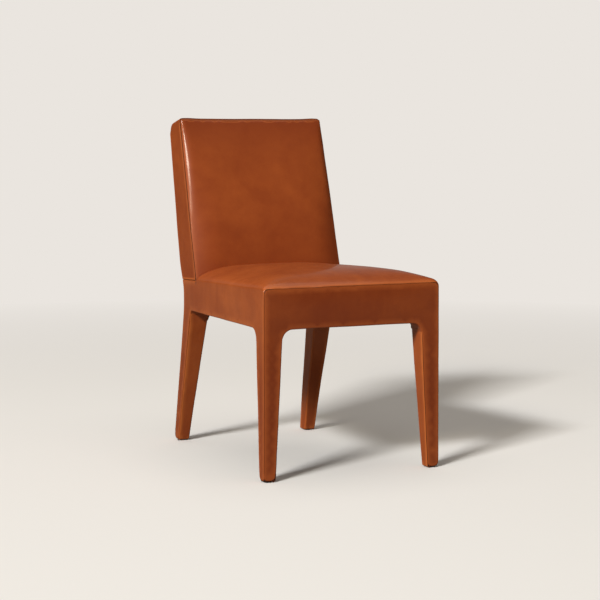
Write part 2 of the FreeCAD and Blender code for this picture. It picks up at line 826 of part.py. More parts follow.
def back_cap(name, inset, base, below=0.0):
    """Crown of the front of the back, rolled at the top and the sides, and open at the seat."""
    def level_at(station):
        return float(back_top) - station

    def place_at(station):
        level = level_at(station)
        seam = float(back_front_at(level))

        def place(across, height):
            return point(across, seam - height, level)
        return place

    def half_of(station):
        return half_at(back_front_at(level_at(station)))

    return crowned_cap(name, place_at, half_of, back_top - seat_line + below, size("back_roll"),
                       size("back_crown"), size("back_bow"), inset, base)


def back_room(name, gap):
    """Room that the back takes, with a gap in front of it, down into the seat."""
    return back_cap(name, -gap, rear_corner_depth - seat_depth, seam_front - seat_line)


# Foam

def seat_foam():
    """Seat foam: a slab inside the aprons with the crown on top, against the back."""
    rear = post_front_foot - lay * 2
    slab_top = cover + lay
    corners = ((cover, foam_bottom), (rear, foam_bottom),
               (rear, seam_at(rear) - slab_top), (cover, seam_at(cover) - slab_top))
    slab = combine("Common", "seat_slab", side_prism("seat_slab_profile", corners, front_width),
                   plan_prism("seat_slab_plan", cover, foam_bottom, seam_front))
    crown = combine("Cut", "seat_foam_crown", seat_cap("seat_foam_cap", cover, slab_top * 2),
                    back_room("seat_foam_stop", lay * 2))
    keep(combine("Fuse", "seat_foam_body", slab, crown), "seat_foam")


def back_foam():
    """Foam on the front of the back, which wraps over the top rail."""
    bottom = seat_line + lay * 2
    web = webbing_thickness + lay * 3
    over = post_top + lay
    front_top = back_front_at(back_top) + cover
    rear_top = rear_corner_depth - cover * 2
    corners = (
        (back_front_at(bottom) + cover, bottom),
        (front_top, top_line_at(front_top) - cover),
        (rear_top, top_line_at(rear_top) - cover, size("back_corner") - cover),
        (back_rear_at(over) - cover * 2, over),
        (post_front_at(over) - web, over),
        (post_front_at(bottom) - web, bottom),
    )
    core = combine("Common", "back_core", side_prism("back_core_profile", corners, front_width),
                   plan_prism("back_core_plan", cover, seam_front / 2, back_top))
    limits = ((lay, bottom), (rear_corner_depth, bottom),
              (rear_corner_depth, top_line_at(rear_corner_depth) - cover),
              (lay, top_line_at(lay) - cover))
    crown = combine("Common", "back_foam_crown", back_cap("back_foam_cap", cover, cover * 2),
                    side_prism("back_foam_limits", limits, front_width))
    keep(combine("Fuse", "back_foam_body", core, crown), "back_foam")


def rear_line(inset):
    """Points down the outside of the back, from its top to the flare of the rear apron."""
    return (
        (overall_depth - inset, panel_top),
        (bulge_depth - inset, bulge_height),
        (seam_edge - inset, seam_at(seam_edge)),
        (frame_depth - inset, size("flare_height")),
    )


def rear_padding():
    """Thin padding between the back posts and the outside of the back."""
    inset = cover + lay
    _, bulge, seam, flare = rear_line(inset)
    low = rail_top
    low_depth = between(flare[0], seam[0], flare[1], seam[1], low)
    corners = ((post_rear_at(low) + lay, low), (low_depth, low), seam, bulge,
               (back_rear_at(post_top) - inset, post_top), (post_rear_head + lay, post_top))
    profile = side_prism("rear_padding_profile", corners, front_width)
    plan = plan_prism("rear_padding_plan", cover, apron_height, back_top)
    keep(combine("Common", "rear_padding_body", profile, plan), "back_rear_padding")


# Leather

def inverted_arch(foot_outer, foot_inner, leg_inner, top_points):
    """Outline of an apron with two leg faces, given for one side and mirrored."""
    half = [(foot_inner, glide_height), (foot_outer, glide_height)] + list(top_points)
    left = [(-across, height) for across, height in reversed(half)]
    arch = [(-leg_inner, apron_height, arch_radius), (leg_inner, apron_height, arch_radius)]
    return left + arch + half


def front_cover():
    """Front apron and the fronts of both front legs in one panel."""
    half = front_width / 2
    corners = inverted_arch(half, half - size("front_foot_width"), half - size("front_leg_width"),
                            [(half, seam_front - lay)])
    keep(padded_body("front_cover_body", "XZ_Plane", -deep(lay * 0), corners, hide,
                     backwards=True), "front_cover")


def rear_sheet(name, points):
    """Bend a sheet of leather down a line of side-view points, from the top to the bottom."""
    inner = [(depth - hide, height) for depth, height in points]
    return side_prism(name, list(points) + list(reversed(inner)), front_width * 2)


def rear_cover():
    """Rear apron and the backs of both rear legs in one panel, raked with the legs."""
    seam = (seam_edge, seam_at(seam_edge) - lay)
    line = (seam, (frame_depth, size("flare_height")), (frame_depth, apron_height),
            (rear_foot_rear, glide_height))
    corners = inverted_arch(
        half_at(rear_foot_rear), rear_foot_inner - cover, rear_leg_inner - cover,
        [(half_at(frame_depth), apron_height), (half_at(seam_edge), seam[1])])
    face = padded_body("rear_cover_face", "XZ_Plane", -deep(lay * 0), corners, overall_depth * 2,
                       backwards=True)
    keep(combine("Common", "rear_cover_body", rear_sheet("rear_cover_sheet", line), face),
         "rear_cover")


def outside_back():
    """Outside of the back in one panel, from the rear seam to the top."""
    top, bulge, seam, _ = rear_line(lay * 0)
    seam = (seam[0], seam[1] + lay)
    right = [(half_at(seam[0]), seam[1]), (half_at(bulge[0]), bulge[1]),
             (half_at(top[0]), top[1])]
    left = [(-across, height) for across, height in reversed(right)]
    face = padded_body("outside_back_face", "XZ_Plane", -deep(lay * 0), right + left,
                       overall_depth * 2, backwards=True)
    keep(combine("Common", "outside_back_body", rear_sheet("outside_back_sheet",
                                                          (top, bulge, seam)), face),
         "outside_back_panel")


def seat_side_profile():
    """Side view of a seat side panel: the apron with the sides of both legs."""
    edge = hide + lay
    return (
        (edge, seam_at(edge)),
        (edge, glide_height),
        (size("front_foot_depth"), glide_height),
        (size("front_leg_depth"), apron_height, arch_radius),
        (rear_leg_front, apron_height, size("rear_arch_radius")),
        (rear_foot_front, glide_height),
        (rear_foot_rear - edge, glide_height),
        (frame_depth - edge, apron_height),
        (frame_depth - edge, size("flare_height")),
        (seam_edge - edge, seam_at(seam_edge - edge)),
    )


def seat_cover():
    """Seat panel and both sides in one piece of leather, from foot to foot over the crown."""
    skin = combine("Cut", "seat_skin", seat_cap("seat_cover_outer", lay * 0, lay * 0),
                   seat_cap("seat_cover_inner", hide, hide))
    top = combine("Cut", "seat_skin_top", skin, back_room("seat_cover_stop", lay))
    panels = [top]
    profile = side_prism("seat_side_profile", seat_side_profile(), front_width * 2)
    for side, sign in SIDES:
        strip = side_strip("seat_side_strip_" + side, sign, lay * 0, hide, lay * 0, back_top)
        panels.append(combine("Common", "seat_side_panel_" + side, profile, strip))
    whole = doc.addObject("Part::MultiFuse", "seat_cover_body")
    whole.Shapes = panels
    keep(whole, "seat_cover")


def back_front_cover():
    """Front panel of the back, crowned, from its top seam down behind the seat."""
    skin = combine("Cut", "back_skin", back_cap("back_cover_outer", lay * 0, lay * 0),
                   back_cap("back_cover_inner", hide, hide))
    keep(skin, "back_front_cover")


def boxing_profile(grow, inset):
    """Side view inside the rear panel, grown at the front and foot, drawn in at the top and rear."""
    edge = cover + inset
    front = lay - grow
    front_top = back_front_at(back_top) + front
    rear_top = rear_corner_depth - edge
    return (
        (back_front_at(seat_line) + front, seat_line + front),
        (front_top, top_line_at(front_top) - inset),
        (rear_top, top_line_at(rear_top) - inset, size("back_corner") - inset),
        (bulge_depth - edge, bulge_height),
        (seam_edge - edge, seam_at(seam_edge) + front),
    )


def boxing_opening():
    """Open rear of the boxing, where the outside of the back closes it."""
    outward = rear_line(-cover)[:3]
    inward = rear_line(cover * 3)[:3]
    return side_prism("boxing_opening", list(outward) + list(reversed(inward)), front_width)


def back_boxing():
    """Band that runs up one side of the back, over the top and down the other side."""
    inside = plan_prism("boxing_inside", hide, apron_height, back_top)
    outer = combine("Common", "boxing_outer",
                    side_prism("boxing_outer_profile", boxing_profile(lay * 0, lay * 0),
                               front_width),
                    plan_prism("boxing_outside", lay * 0, apron_height, back_top))
    inner = combine("Common", "boxing_inner",
                    side_prism("boxing_inner_profile", boxing_profile(cover * 3, hide),
                               front_width), inside)
    band = combine("Cut", "boxing_band", outer, inner)
    rear = combine("Common", "boxing_rear", boxing_opening(), inside)
    keep(combine("Cut", "boxing_body", band, rear), "back_boxing")


def leg_sleeve(name, sign, levels):
    """Leather on the two inner faces of a leg: an angle, tapered like the leg."""
    body = doc.addObject("PartDesign::Body", name + "_body")
    sections = []
    for level, inner, face, end, inward in levels:
        behind = face + hide * inward
        corners = (
            (inner, end), (inner, face), (half_at(face) - cover, face),
            (half_at(behind) - cover, behind), (inner + hide, behind), (inner + hide, end),
        )
        placed = [(across * sign, deep(depth)) for across, depth in corners]
        sections.append(outline(body, "%s_section_%d" % (name, len(sections)), "XY_Plane",
                                level, placed))
    add_loft(body, *sections)
    keep(body, name)


def leg_sleeves():
    """Line the inner faces of all four legs."""
    half = front_width / 2
    front_levels = (
        (glide_height, half - size("front_foot_width"), size("front_foot_depth"), cover, -1),
        (apron_height, half - size("front_leg_width"), size("front_leg_depth"), cover, -1),
    )
    back_levels = (
        (glide_height, rear_foot_inner - cover, rear_foot_front, rear_foot_rear - cover, 1),
        (apron_height, rear_leg_inner - cover, rear_leg_front, frame_depth - cover, 1),
    )
    for side, sign in SIDES:
        leg_sleeve("leg_sleeve_front_" + side, sign, front_levels)
        leg_sleeve("leg_sleeve_back_" + side, sign, back_levels)


# Underside

def dust_cover(slots):
    """Woven cover under the seat, cut back round the legs and the gussets."""
    margin = cover + size("dust_cover_margin")
    clear = haunch_step + size("haunch")
    gap = clear / 2
    half = (
        (front_leg_inner - clear - gap, margin),
        (front_leg_inner - gap, front_leg_rear + gap),
        (half_at(front_leg_rear + clear + gap) - margin, front_leg_rear + clear + gap),
        (half_at(post_front_foot - clear - gap) - margin, post_front_foot - clear - gap),
        (rear_leg_inner - gap, post_front_foot - gap),
        (rear_leg_inner - clear - gap, frame_depth - margin),
    )
    right = [(across, deep(depth)) for across, depth in half]
    left = [(-across, depth) for across, depth in reversed(right)]
    thickness = size("dust_cover_thickness")
    body = padded_body("dust_cover_body", "XY_Plane", rail_bottom - lay - thickness,
                       right + left, thickness)
    keep(combine("Cut", "dust_cover_cut", body, slots), "dust_cover")


def check_and_write():
    """Stop at any failed object or bad solid, then write each sub-part."""
    for item in doc.Objects:
        if any(word in ("Invalid", "Error") for word in item.State):
            raise RuntimeError("%s did not build: %s" % (item.Name, item.State))
    for label, item in pieces.items():
        if item.Shape.isNull() or not item.Shape.isValid() or not item.Shape.Solids:
            raise RuntimeError("%s has no sound solid" % label)
    os.makedirs("parts", exist_ok=True)
    for label, item in pieces.items():
        solids = item.Shape.Solids
        shape = solids[0] if len(solids) == 1 else item.Shape
        shape.exportStep("parts/%s.step" % label)
        print("%-28s solids %2d  volume %10.0f mm3" % (label, len(solids), item.Shape.Volume))


dowel_bores = make_dowels()
screw_bores = make_screws()
nail_bores = make_glides()
staple_slots = make_staples()
wooden_frame(group("leg_bores", dowel_bores + screw_bores + nail_bores),
             group("rail_bores", dowel_bores + [staple_slots]),
             group("block_bores", screw_bores))
seat_webbing()
back_webbing()
seat_foam()
back_foam()
rear_padding()
seat_cover()
front_cover()
rear_cover()
back_front_cover()
back_boxing()
outside_back()
leg_sleeves()
dust_cover(staple_slots)
doc.recompute()
check_and_write()
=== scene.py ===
"""A leather-covered dining side chair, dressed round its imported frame.

Lengths are in metres, in the part's frame: +Z up, the front of the chair faces -Y, and the chair is
the same on both sides of X = 0. A depth is measured back from the chair's front face.
"""

import json
import logging
import math
from dataclasses import dataclass, field
from enum import Enum
from typing import Callable, Sequence, Union

import bmesh
import bpy
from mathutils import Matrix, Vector, geometry, noise

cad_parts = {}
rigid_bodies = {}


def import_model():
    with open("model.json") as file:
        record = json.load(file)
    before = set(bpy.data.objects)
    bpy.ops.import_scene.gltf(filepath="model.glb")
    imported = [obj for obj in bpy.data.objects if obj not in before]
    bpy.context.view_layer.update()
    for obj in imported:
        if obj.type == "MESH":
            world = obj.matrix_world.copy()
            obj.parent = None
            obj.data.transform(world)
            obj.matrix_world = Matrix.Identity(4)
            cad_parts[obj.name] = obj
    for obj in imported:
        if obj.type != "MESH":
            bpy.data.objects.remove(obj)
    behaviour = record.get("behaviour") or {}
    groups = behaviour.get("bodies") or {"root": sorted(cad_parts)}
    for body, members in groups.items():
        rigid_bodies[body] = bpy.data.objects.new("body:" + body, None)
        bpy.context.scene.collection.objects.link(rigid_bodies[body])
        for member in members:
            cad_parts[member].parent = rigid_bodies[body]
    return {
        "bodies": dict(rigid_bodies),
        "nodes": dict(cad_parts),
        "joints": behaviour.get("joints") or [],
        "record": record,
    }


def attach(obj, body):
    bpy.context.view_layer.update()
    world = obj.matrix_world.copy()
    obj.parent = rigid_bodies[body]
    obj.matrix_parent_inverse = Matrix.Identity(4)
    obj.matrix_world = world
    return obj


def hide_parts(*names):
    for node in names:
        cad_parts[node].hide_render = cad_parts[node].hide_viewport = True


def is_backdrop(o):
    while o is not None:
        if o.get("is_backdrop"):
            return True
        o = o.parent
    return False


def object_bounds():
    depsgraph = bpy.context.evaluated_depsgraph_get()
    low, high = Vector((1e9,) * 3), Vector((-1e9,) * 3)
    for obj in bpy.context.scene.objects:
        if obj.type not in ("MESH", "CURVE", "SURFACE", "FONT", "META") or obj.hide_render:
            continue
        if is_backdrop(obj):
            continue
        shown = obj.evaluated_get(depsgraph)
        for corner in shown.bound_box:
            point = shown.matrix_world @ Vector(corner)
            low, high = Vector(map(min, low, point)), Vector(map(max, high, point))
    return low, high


LOG = logging.getLogger("dining_chair")

EDGE_ROWS = 10  # rows of points in a rolled edge
SEAM_GAP = 0.00015  # between the two lips of a seam
SEAM_TUCK = 0.0024  # how far a lip runs on into its seam
HAIR_LIP = 0.0004  # radius of the finest lips
HIDE = 0.0013  # thickness of the leather
FOOT_LINE = 0.0024  # height of the leather's lower edge
FOOT_STEP = 0.04  # length of a division along a foot
LEG_TOP = 0.360  # height above which the aprons' outlines are divided more finely
SEAM_ROLL_NEARNESS = 0.42  # nearness to a seam where its rolled edge begins
HEM_ROLL_NEARNESS = 0.34  # the same along an edge that turns under
NEARNESS_REACH = 0.010  # distance over which nearness to a seam dies away
PAD_INSET = 0.0022  # depth of the padding under the outer face of the leather
TIGHT_FOLD = 0.0016  # radius of a fold where it runs out into a seam
SHARP_TURN = 0.35  # sine of the angle from which an outline's corner is mitred
WELD = 0.00010  # distance under which two points become one
ROW_STEP = 0.87  # distance between rows of points inside a panel, over their spacing
RIM_GAP = 0.45  # least distance of such a point from the outline, over the same
NOISE_START = 5  # start of the noise vectors, which otherwise comes from the clock
SLOW_WAVES = (8.0, 0.0009)  # fineness and height of the leather's slow unevenness
FINE_WAVES = (27.0, 0.00028)  # the same for its fine unevenness
EAR_PLACE, EAR_WIDTH, EAR_RISE = 0.196, 0.022, 0.0022  # soft peaks by the back's top corners
EAR_LEVELS = (0.87, 0.912)  # heights between which the peaks grow
ROOT = "root"

Row = tuple[float, float]
Triple = tuple[float, float, float]
Colour = Triple
Place = Callable[[float, float], tuple[Vector, Vector]]
Corner = tuple[float, float, "Edge"]
SIDES = (("left", -1), ("right", 1))


def ease(low: float, high: float, value: float) -> float:
    """Smooth step from 0 at low to 1 at high."""
    share = min(1.0, max(0.0, (value - low) / (high - low)))
    return share * share * (3.0 - 2.0 * share)


def mix(start: float, end: float, share: float) -> float:
    """Straight blend of two numbers."""
    return start + (end - start) * share


def fading(distance: float) -> float:
    """Nearness to a seam at a distance from its rolled edge."""
    return SEAM_ROLL_NEARNESS * math.exp(-distance / NEARNESS_REACH)


def placed(name: str, data: bpy.types.ID) -> bpy.types.Object:
    """Put a new object with its data into the scene."""
    piece = bpy.data.objects.new(name, data)
    bpy.context.scene.collection.objects.link(piece)
    return piece


def edge_distance(first: float, second: float, softness: float) -> float:
    """Distance from the nearer of two square edges, with the corner between them softened.

    Args:
        first: Distance from one edge.
        second: Distance from the other edge.
        softness: Radius of a contour's corner, over its distance from the edges.

    Returns:
        The distance of the contour that goes through the place.
    """
    near, far = max(0.0, min(first, second)), max(first, second)
    reach = 1.0 + softness
    if far >= reach * near:
        return near
    square = 2 * reach * reach - softness * softness
    total = reach * (near + far)
    return (total + math.sqrt(max(0.0, total * total - square * (near**2 + far**2)))) / square


def settle(point: Vector) -> Vector:
    """Give a point the slow unevenness of hand-laid leather, the same on both sides of a seam."""
    slow = noise.noise_vector(point * SLOW_WAVES[0]) * SLOW_WAVES[1]
    fine = noise.noise_vector(point * FINE_WAVES[0] + Vector((3.1, 1.7, 7.9))) * FINE_WAVES[1]
    ear = EAR_RISE * math.exp(-(((abs(point.x) - EAR_PLACE) / EAR_WIDTH) ** 2))
    return point + slow + fine + Vector((0.0, 0.0, ear * ease(*EAR_LEVELS, point.z)))


@dataclass(frozen=True)
class Shoulder:
    """Side view of a padded edge: a tight roll beside the seam, then a long slow one.

    Attributes:
        radius: Radius of the tight roll.
        start: Slope at the seam, in degrees.
        rest: Slope where the slow roll takes over, in degrees.
        width: Distance from the seam to where the surface runs level.
    """

    radius: float
    start: float
    rest: float
    width: float

    def rise(self, distance: float) -> float:
        """Height over the seam at a distance from it."""
        first, last = math.radians(self.start), math.radians(self.rest)
        tight = self.radius * (math.sin(first) - math.sin(last))
        slow = (self.width - tight) / math.sin(last)
        if distance < tight:
            here = math.asin(math.sin(first) - max(0.0, distance) / self.radius)
            return self.radius * (math.cos(here) - math.cos(first))
        height = self.radius * (math.cos(last) - math.cos(first)) + slow * (1 - math.cos(last))
        left = max(0.0, self.width - distance)
        return height - (slow - math.sqrt(slow * slow - left * left))


# Main lines of the chair


@dataclass(frozen=True)
class ChairShape:
    """Main lines of the chair's leather.

    A leg's place is how far in it reaches from the chair's side, and the depth of its inner face.

    Attributes:
        front: Y of the front face.
        front_width: Width at the front.
        rear_width: Width at frame_depth.
        frame_depth: Depth of the chair at its rear apron.
        apron: Height of the aprons' lower edges.
        seam_front: Height of the seat's seam line at the front.
        seam_rear: Height of that line at frame_depth.
        seam_wall: Height of the seat's edge over the line.
        seat_depth: Depth at which the back's front seam starts.
        back_top: Height of the back's front edge.
        back_lean: How much deeper that edge lies than its foot.
        back_top_drop: Fall of the back's top towards the rear.
        back_reach: Depth of the back's top rear edge.
        panel_top: Height of the top of the outside back.
        panel_foot: Height of its foot.
        front_foot: Place of a front leg at the floor.
        front_leg: Place of a front leg at the apron.
        back_foot: Place of a back leg at the floor.
        back_leg: Place of a back leg at the apron.
        arch: Radius of the corner between a front leg and an apron.
        rear_arch: Radius of the same corner at a back leg, seen from the side.
        apron_swell: How far the padding presses an apron out.
        splay: How far a foot stands out at the front and at the rear.
        splay_reach: Depth of the feet at the rear.
        swell_reach: Distance from an apron's ends at which it is fully pressed out.
        rear_bends: Height, depth and length of blend of every bend of the rear.
    """

    front: float
    front_width: float = 0.5016
    rear_width: float = 0.4390
    frame_depth: float = 0.608
    apron: float = 0.383
    seam_front: float = 0.485
    seam_rear: float = 0.466
    seam_wall: float = 0.0015
    seat_depth: float = 0.508
    back_top: float = 0.913
    back_lean: float = 0.129
    back_top_drop: float = 0.017
    back_reach: float = 0.7266
    panel_top: float = 0.866
    panel_foot: float = 0.466
    front_foot: Row = (0.0324, 0.0333)
    front_leg: Row = (0.0532, 0.0582)
    back_foot: Row = (0.0341, 0.664)
    back_leg: Row = (0.0572, 0.553)
    arch: float = 0.028
    rear_arch: float = 0.015
    apron_swell: float = 0.0024
    splay: Row = (0.0015, -0.0012)
    splay_reach: float = 0.69
    swell_reach: float = 0.06
    rear_bends: tuple[Triple, ...] = (
        (0.004, 0.6980, 0.0),
        (0.383, 0.6096, 0.020),
        (0.441, 0.6096, 0.013),
        (0.466, 0.6206, 0.007),
        (0.506, 0.6416, 0.016),
        (0.896, 0.7266, 0.0),
    )

    def y(self, depth: float) -> float:
        """Y of a depth."""
        return self.front + depth

    def half(self, depth: float) -> float:
        """Half width at a depth."""
        taper = self.front_width - self.rear_width
        return (self.front_width - taper * depth / self.frame_depth) / 2

    def seam(self, depth: float) -> float:
        """Height of the seat's seam line at a depth."""
        return self.seam_front - (self.seam_front - self.seam_rear) * depth / self.frame_depth

    def back_front(self, height: float) -> float:
        """Depth of the back's front seam at a height."""
        foot = self.seam(self.seat_depth)
        return self.seat_depth + self.back_lean * (height - foot) / (self.back_top - foot)

    def top_line(self, depth: float) -> float:
        """Height of the top of the back at a depth."""
        start = self.seat_depth + self.back_lean
        return self.back_top - self.back_top_drop * (depth - start) / (self.back_reach - start)

    def rear(self, height: float) -> float:
        """Depth of the rear of the chair at a height, with its bends rounded."""
        bends = self.rear_bends
        for index in range(1, len(bends) - 1):
            level, depth, blend = bends[index]
            if abs(height - level) < blend:
                below = (depth - bends[index - 1][1]) / (level - bends[index - 1][0])
                above = (bends[index + 1][1] - depth) / (bends[index + 1][0] - level)
                share = (height - level + blend) / (2 * blend)
                start, end = depth - below * blend, depth + above * blend
                return start * (1 - share) ** 2 + 2 * depth * share * (1 - share) + end * share**2
        for (low, near, _), (high, far, _) in zip(bends, bends[1:]):
            if height <= high or high == bends[-1][0]:
                return mix(near, far, (height - low) / (high - low))
        return bends[-1][1]

    def rear_levels(self) -> list[float]:
        """Heights that divide the rear edge, from the floor to the foot of the back."""
        legs, apron = 22, 14
        levels = [mix(FOOT_LINE, LEG_TOP, index / legs) for index in range(legs)]
        return levels + [mix(LEG_TOP, self.panel_foot, index / apron) for index in range(apron + 1)]

    def leg_share(self, height: float) -> float:
        """How far up a leg a height lies, from its foot to the apron."""
        foot = self.rear_bends[0][0]
        return (height - foot) / (self.apron - foot)

    def front_leg_at(self, height: float) -> Row:
        """Inner half width and rear depth of a front leg at a height."""
        share = self.leg_share(height)
        inner = self.front_width / 2 - mix(self.front_foot[0], self.front_leg[0], share)
        return inner, mix(self.front_foot[1], self.front_leg[1], share)

    def back_leg_at(self, height: float) -> Row:
        """Inner half width and front depth of a back leg at a height."""
        share = self.leg_share(height)
        foot = self.half(self.back_foot[1]) - self.back_foot[0]
        head = self.half(self.back_leg[1]) - self.back_leg[0]
        return mix(foot, head, share), mix(self.back_foot[1], self.back_leg[1], share)

    def splay_at(self, depth: float, height: float) -> float:
        """How far a leg's outer face stands out, or in, below the apron."""
        low = min(1.0, max(0.0, 1.0 - self.leg_share(height)))
        return low * mix(*self.splay, min(1.0, max(0.0, depth / self.splay_reach)))

    def swell_at(self, height: float) -> float:
        """How far the padding under an apron presses it out at a height."""
        middle, reach = (self.apron + self.seam_front) / 2, (self.seam_front - self.apron) / 2
        return self.apron_swell * max(0.0, 1.0 - ((height - middle) / reach) ** 2)

    def front_face(self, across: float, height: float) -> tuple[Vector, Vector]:
        """Point and outward direction on the front apron."""
        outer = abs(across) / (self.front_width / 2)
        shift = math.copysign(self.splay_at(0.0, height) * ease(0.85, 1.0, outer), across)
        proud = self.swell_at(height) * max(0.0, 1.0 - outer**6)
        return Vector((across + shift, self.y(-proud), height)), Vector((0.0, -1.0, 0.0))

    def side_face(self, sign: int) -> Place:
        """Return the place function of one side of the chair, by depth and height."""
        slope = (self.front_width - self.rear_width) / 2 / self.frame_depth
        outward = Vector((sign, slope, 0.0)).normalized()

        def place(depth: float, height: float) -> tuple[Vector, Vector]:
            """Point and outward direction on this side."""
            across = self.half(depth) + self.splay_at(depth, height)
            middle = (ease(0.0, self.swell_reach, depth)
                      * ease(0.0, self.swell_reach, self.frame_depth - 0.01 - depth))
            across += self.swell_at(height) * middle * 0.5
            return Vector((sign * across, self.y(depth), height)), outward

        return place

    def rear_face(self, across: float, height: float) -> tuple[Vector, Vector]:
        """Point and outward direction on the rear of the chair."""
        step = 0.0005
        depth = self.rear(height)
        slope = (self.rear(height + step) - self.rear(height - step)) / (2 * step)
        outer = abs(across) / self.half(depth)
        shift = math.copysign(self.splay_at(depth, height) * ease(0.80, 1.0, outer), across)
        return (Vector((across + shift, self.y(depth), height)),
                Vector((0.0, 1.0, -slope)).normalized())


# Edges of leather panels


class EdgeKind(Enum):
    """What the edge of a leather panel does."""

    SEAM = "rolls into a crease against its neighbour"
    UNDER = "rolls under and runs on flat"
    OPEN = "carries on as the next patch of the same leather"


@dataclass(frozen=True)
class Edge:
    """One edge of a leather panel.

    Attributes:
        kind: What the edge does.
        turn: Degrees that the surface turns from this panel to its neighbour.
        radius: Radius of the padded corner under the edge.
        run: How far an edge that rolls under runs on.
        lip: Radius of the small roll into the crease.
    """

    kind: EdgeKind
    turn: float = 90.0
    radius: float = 0.0038
    run: float = 0.003
    lip: float = 0.0010

    def nearness(self, row: int) -> float:
        """How near a row lies to a seam, from 0 to 1."""
        if self.kind is EdgeKind.SEAM:
            return mix(SEAM_ROLL_NEARNESS, 1.0, row / (EDGE_ROWS - 1))
        return HEM_ROLL_NEARNESS if self.kind is EdgeKind.UNDER else 0.0

    def rows(self) -> list[Row]:
        """Distance from the corner line and depth under the surface, from flat to hidden."""
        if self.kind is EdgeKind.OPEN:
            return [(0.0, 0.0)] * EDGE_ROWS
        if self.kind is EdgeKind.UNDER:
            return self._under_rows()
        return self._seam_rows()

    def _under_rows(self) -> list[Row]:
        """Rows of an edge that rolls a quarter turn and runs on."""
        arc_rows = 7
        rows = []
        for index in range(arc_rows):
            angle = math.pi / 2 * index / (arc_rows - 1)
            rows.append((self.radius * (1 - math.sin(angle)), self.radius * (1 - math.cos(angle))))
        spare = EDGE_ROWS - arc_rows
        for index in range(1, spare + 1):
            rows.append((0.0, self.radius + self.run * index / spare))
        return rows

    def _seam_rows(self) -> list[Row]:
        """Rows of an edge that rolls round the corner's arc, then over a lip into the crease."""
        half = math.radians(max(self.turn, 0.0)) / 2
        share = math.asin(min(0.99, (self.lip + SEAM_GAP) / (self.radius - self.lip)))
        arc_rows = 5
        rows = []
        if half > share:
            last = half - share
            start = self.radius * math.tan(half)
            for index in range(arc_rows):
                angle = last * index / (arc_rows - 1)
                rows.append((start - self.radius * math.sin(angle),
                             self.radius * (1 - math.cos(angle))))
            inner = self.radius - self.lip
            centre = (start - inner * math.sin(last), self.radius - inner * math.cos(last))
        else:
            last = 0.0
            reach = (self.lip + SEAM_GAP + self.lip * math.sin(half)) / math.cos(half)
            centre = (reach, self.lip)
            level = 0.004
            for index in range(arc_rows):
                rows.append((reach + level * (1 - index / (arc_rows - 1)), 0.0))
        lip_rows = EDGE_ROWS - arc_rows - 1
        for index in range(1, lip_rows + 1):
            angle = mix(last, half + math.pi / 2, index / lip_rows)
            rows.append((centre[0] - self.lip * math.sin(angle),
                         centre[1] - self.lip * math.cos(angle)))
        along, inward = rows[-1]
        rows.append((along + SEAM_TUCK * math.sin(half), inward + SEAM_TUCK * math.cos(half)))
        return rows


SIDE_SEAM = Edge(EdgeKind.SEAM, lip=0.0009)
FLAT_SEAM = Edge(EdgeKind.SEAM, turn=2.0, lip=0.0012)
FOOT_EDGE = Edge(EdgeKind.UNDER, radius=0.0040, run=0.003)
OPEN_EDGE = Edge(EdgeKind.OPEN)
APRON_HEM = Edge(EdgeKind.UNDER, radius=0.0030, run=0.011)


def gusset_hem(rising: bool, leg: float = 0.048) -> Callable[[float], Edge]:
    """Edges that turn under a rounded corner, as deep as the leg at the leg's end.

    Args:
        rising: Whether the outline comes from the leg.
        leg: Depth at the leg.

    Returns:
        The edge, as a function of the share along the corner.
    """

    def edge(share: float) -> Edge:
        """Hem at a share of the corner."""
        away = share if rising else 1.0 - share
        return Edge(EdgeKind.UNDER, radius=APRON_HEM.radius, run=mix(leg, APRON_HEM.run, away**3))

    return edge


def back_seam(turn: float, lip: float = 0.0014) -> Edge:
    """Edge of the fuller seam round the front of the back."""
    return Edge(EdgeKind.SEAM, turn=turn, radius=0.0050, lip=lip)


@dataclass(frozen=True)
class Station:
    """One place along a span: how far along it, how deep under the surface, how near a seam."""

    at: float
    inward: float
    nearness: float


@dataclass(frozen=True)
class Span:
    """Places across a panel from one edge to the other.

    Attributes:
        start: Edge at the beginning.
        end: Edge at the end.
        shares: Inner places, as shares of what the edges leave.
    """

    start: Edge
    end: Edge
    shares: tuple[float, ...]

    def stations(self, length: float, start: Union[Edge, None] = None,
                 end: Union[Edge, None] = None) -> list[Station]:
        """Place every station on a span of a length.

        Args:
            length: Length of the span.
            start: Edge to use at the beginning instead of the usual one.
            end: Edge to use at the end instead of the usual one.

        Returns:
            The stations, in order.
        """
        first, last = start or self.start, end or self.end
        made: list[Station] = []
        low, high = 0.0, length
        if first.kind is not EdgeKind.OPEN:
            rows = first.rows()
            low = rows[0][0]
            made = [Station(along, inward, first.nearness(row))
                    for row, (along, inward) in reversed(list(enumerate(rows)))]
        tail: list[Station] = []
        if last.kind is not EdgeKind.OPEN:
            rows = last.rows()
            high = length - rows[0][0]
            tail = [Station(length - along, inward, last.nearness(row))
                    for row, (along, inward) in enumerate(rows)]
        for share in self.shares:
            at = mix(low, high, share)
            made.append(Station(at, 0.0, self._inner_nearness(at, length, first, last)))
        return made + tail

    @staticmethod
    def _inner_nearness(at: float, length: float, first: Edge, last: Edge) -> float:
        """How near a flat place lies to the rolled ends."""
        gaps = [gap for gap, edge in ((at, first), (length - at, last))
                if edge.kind is EdgeKind.SEAM]
        return fading(min(gaps)) if gaps else 0.0


def even(count: int) -> tuple[float, ...]:
    """Shares of a number of even steps, ends included."""
    return tuple(index / count for index in range(count + 1))


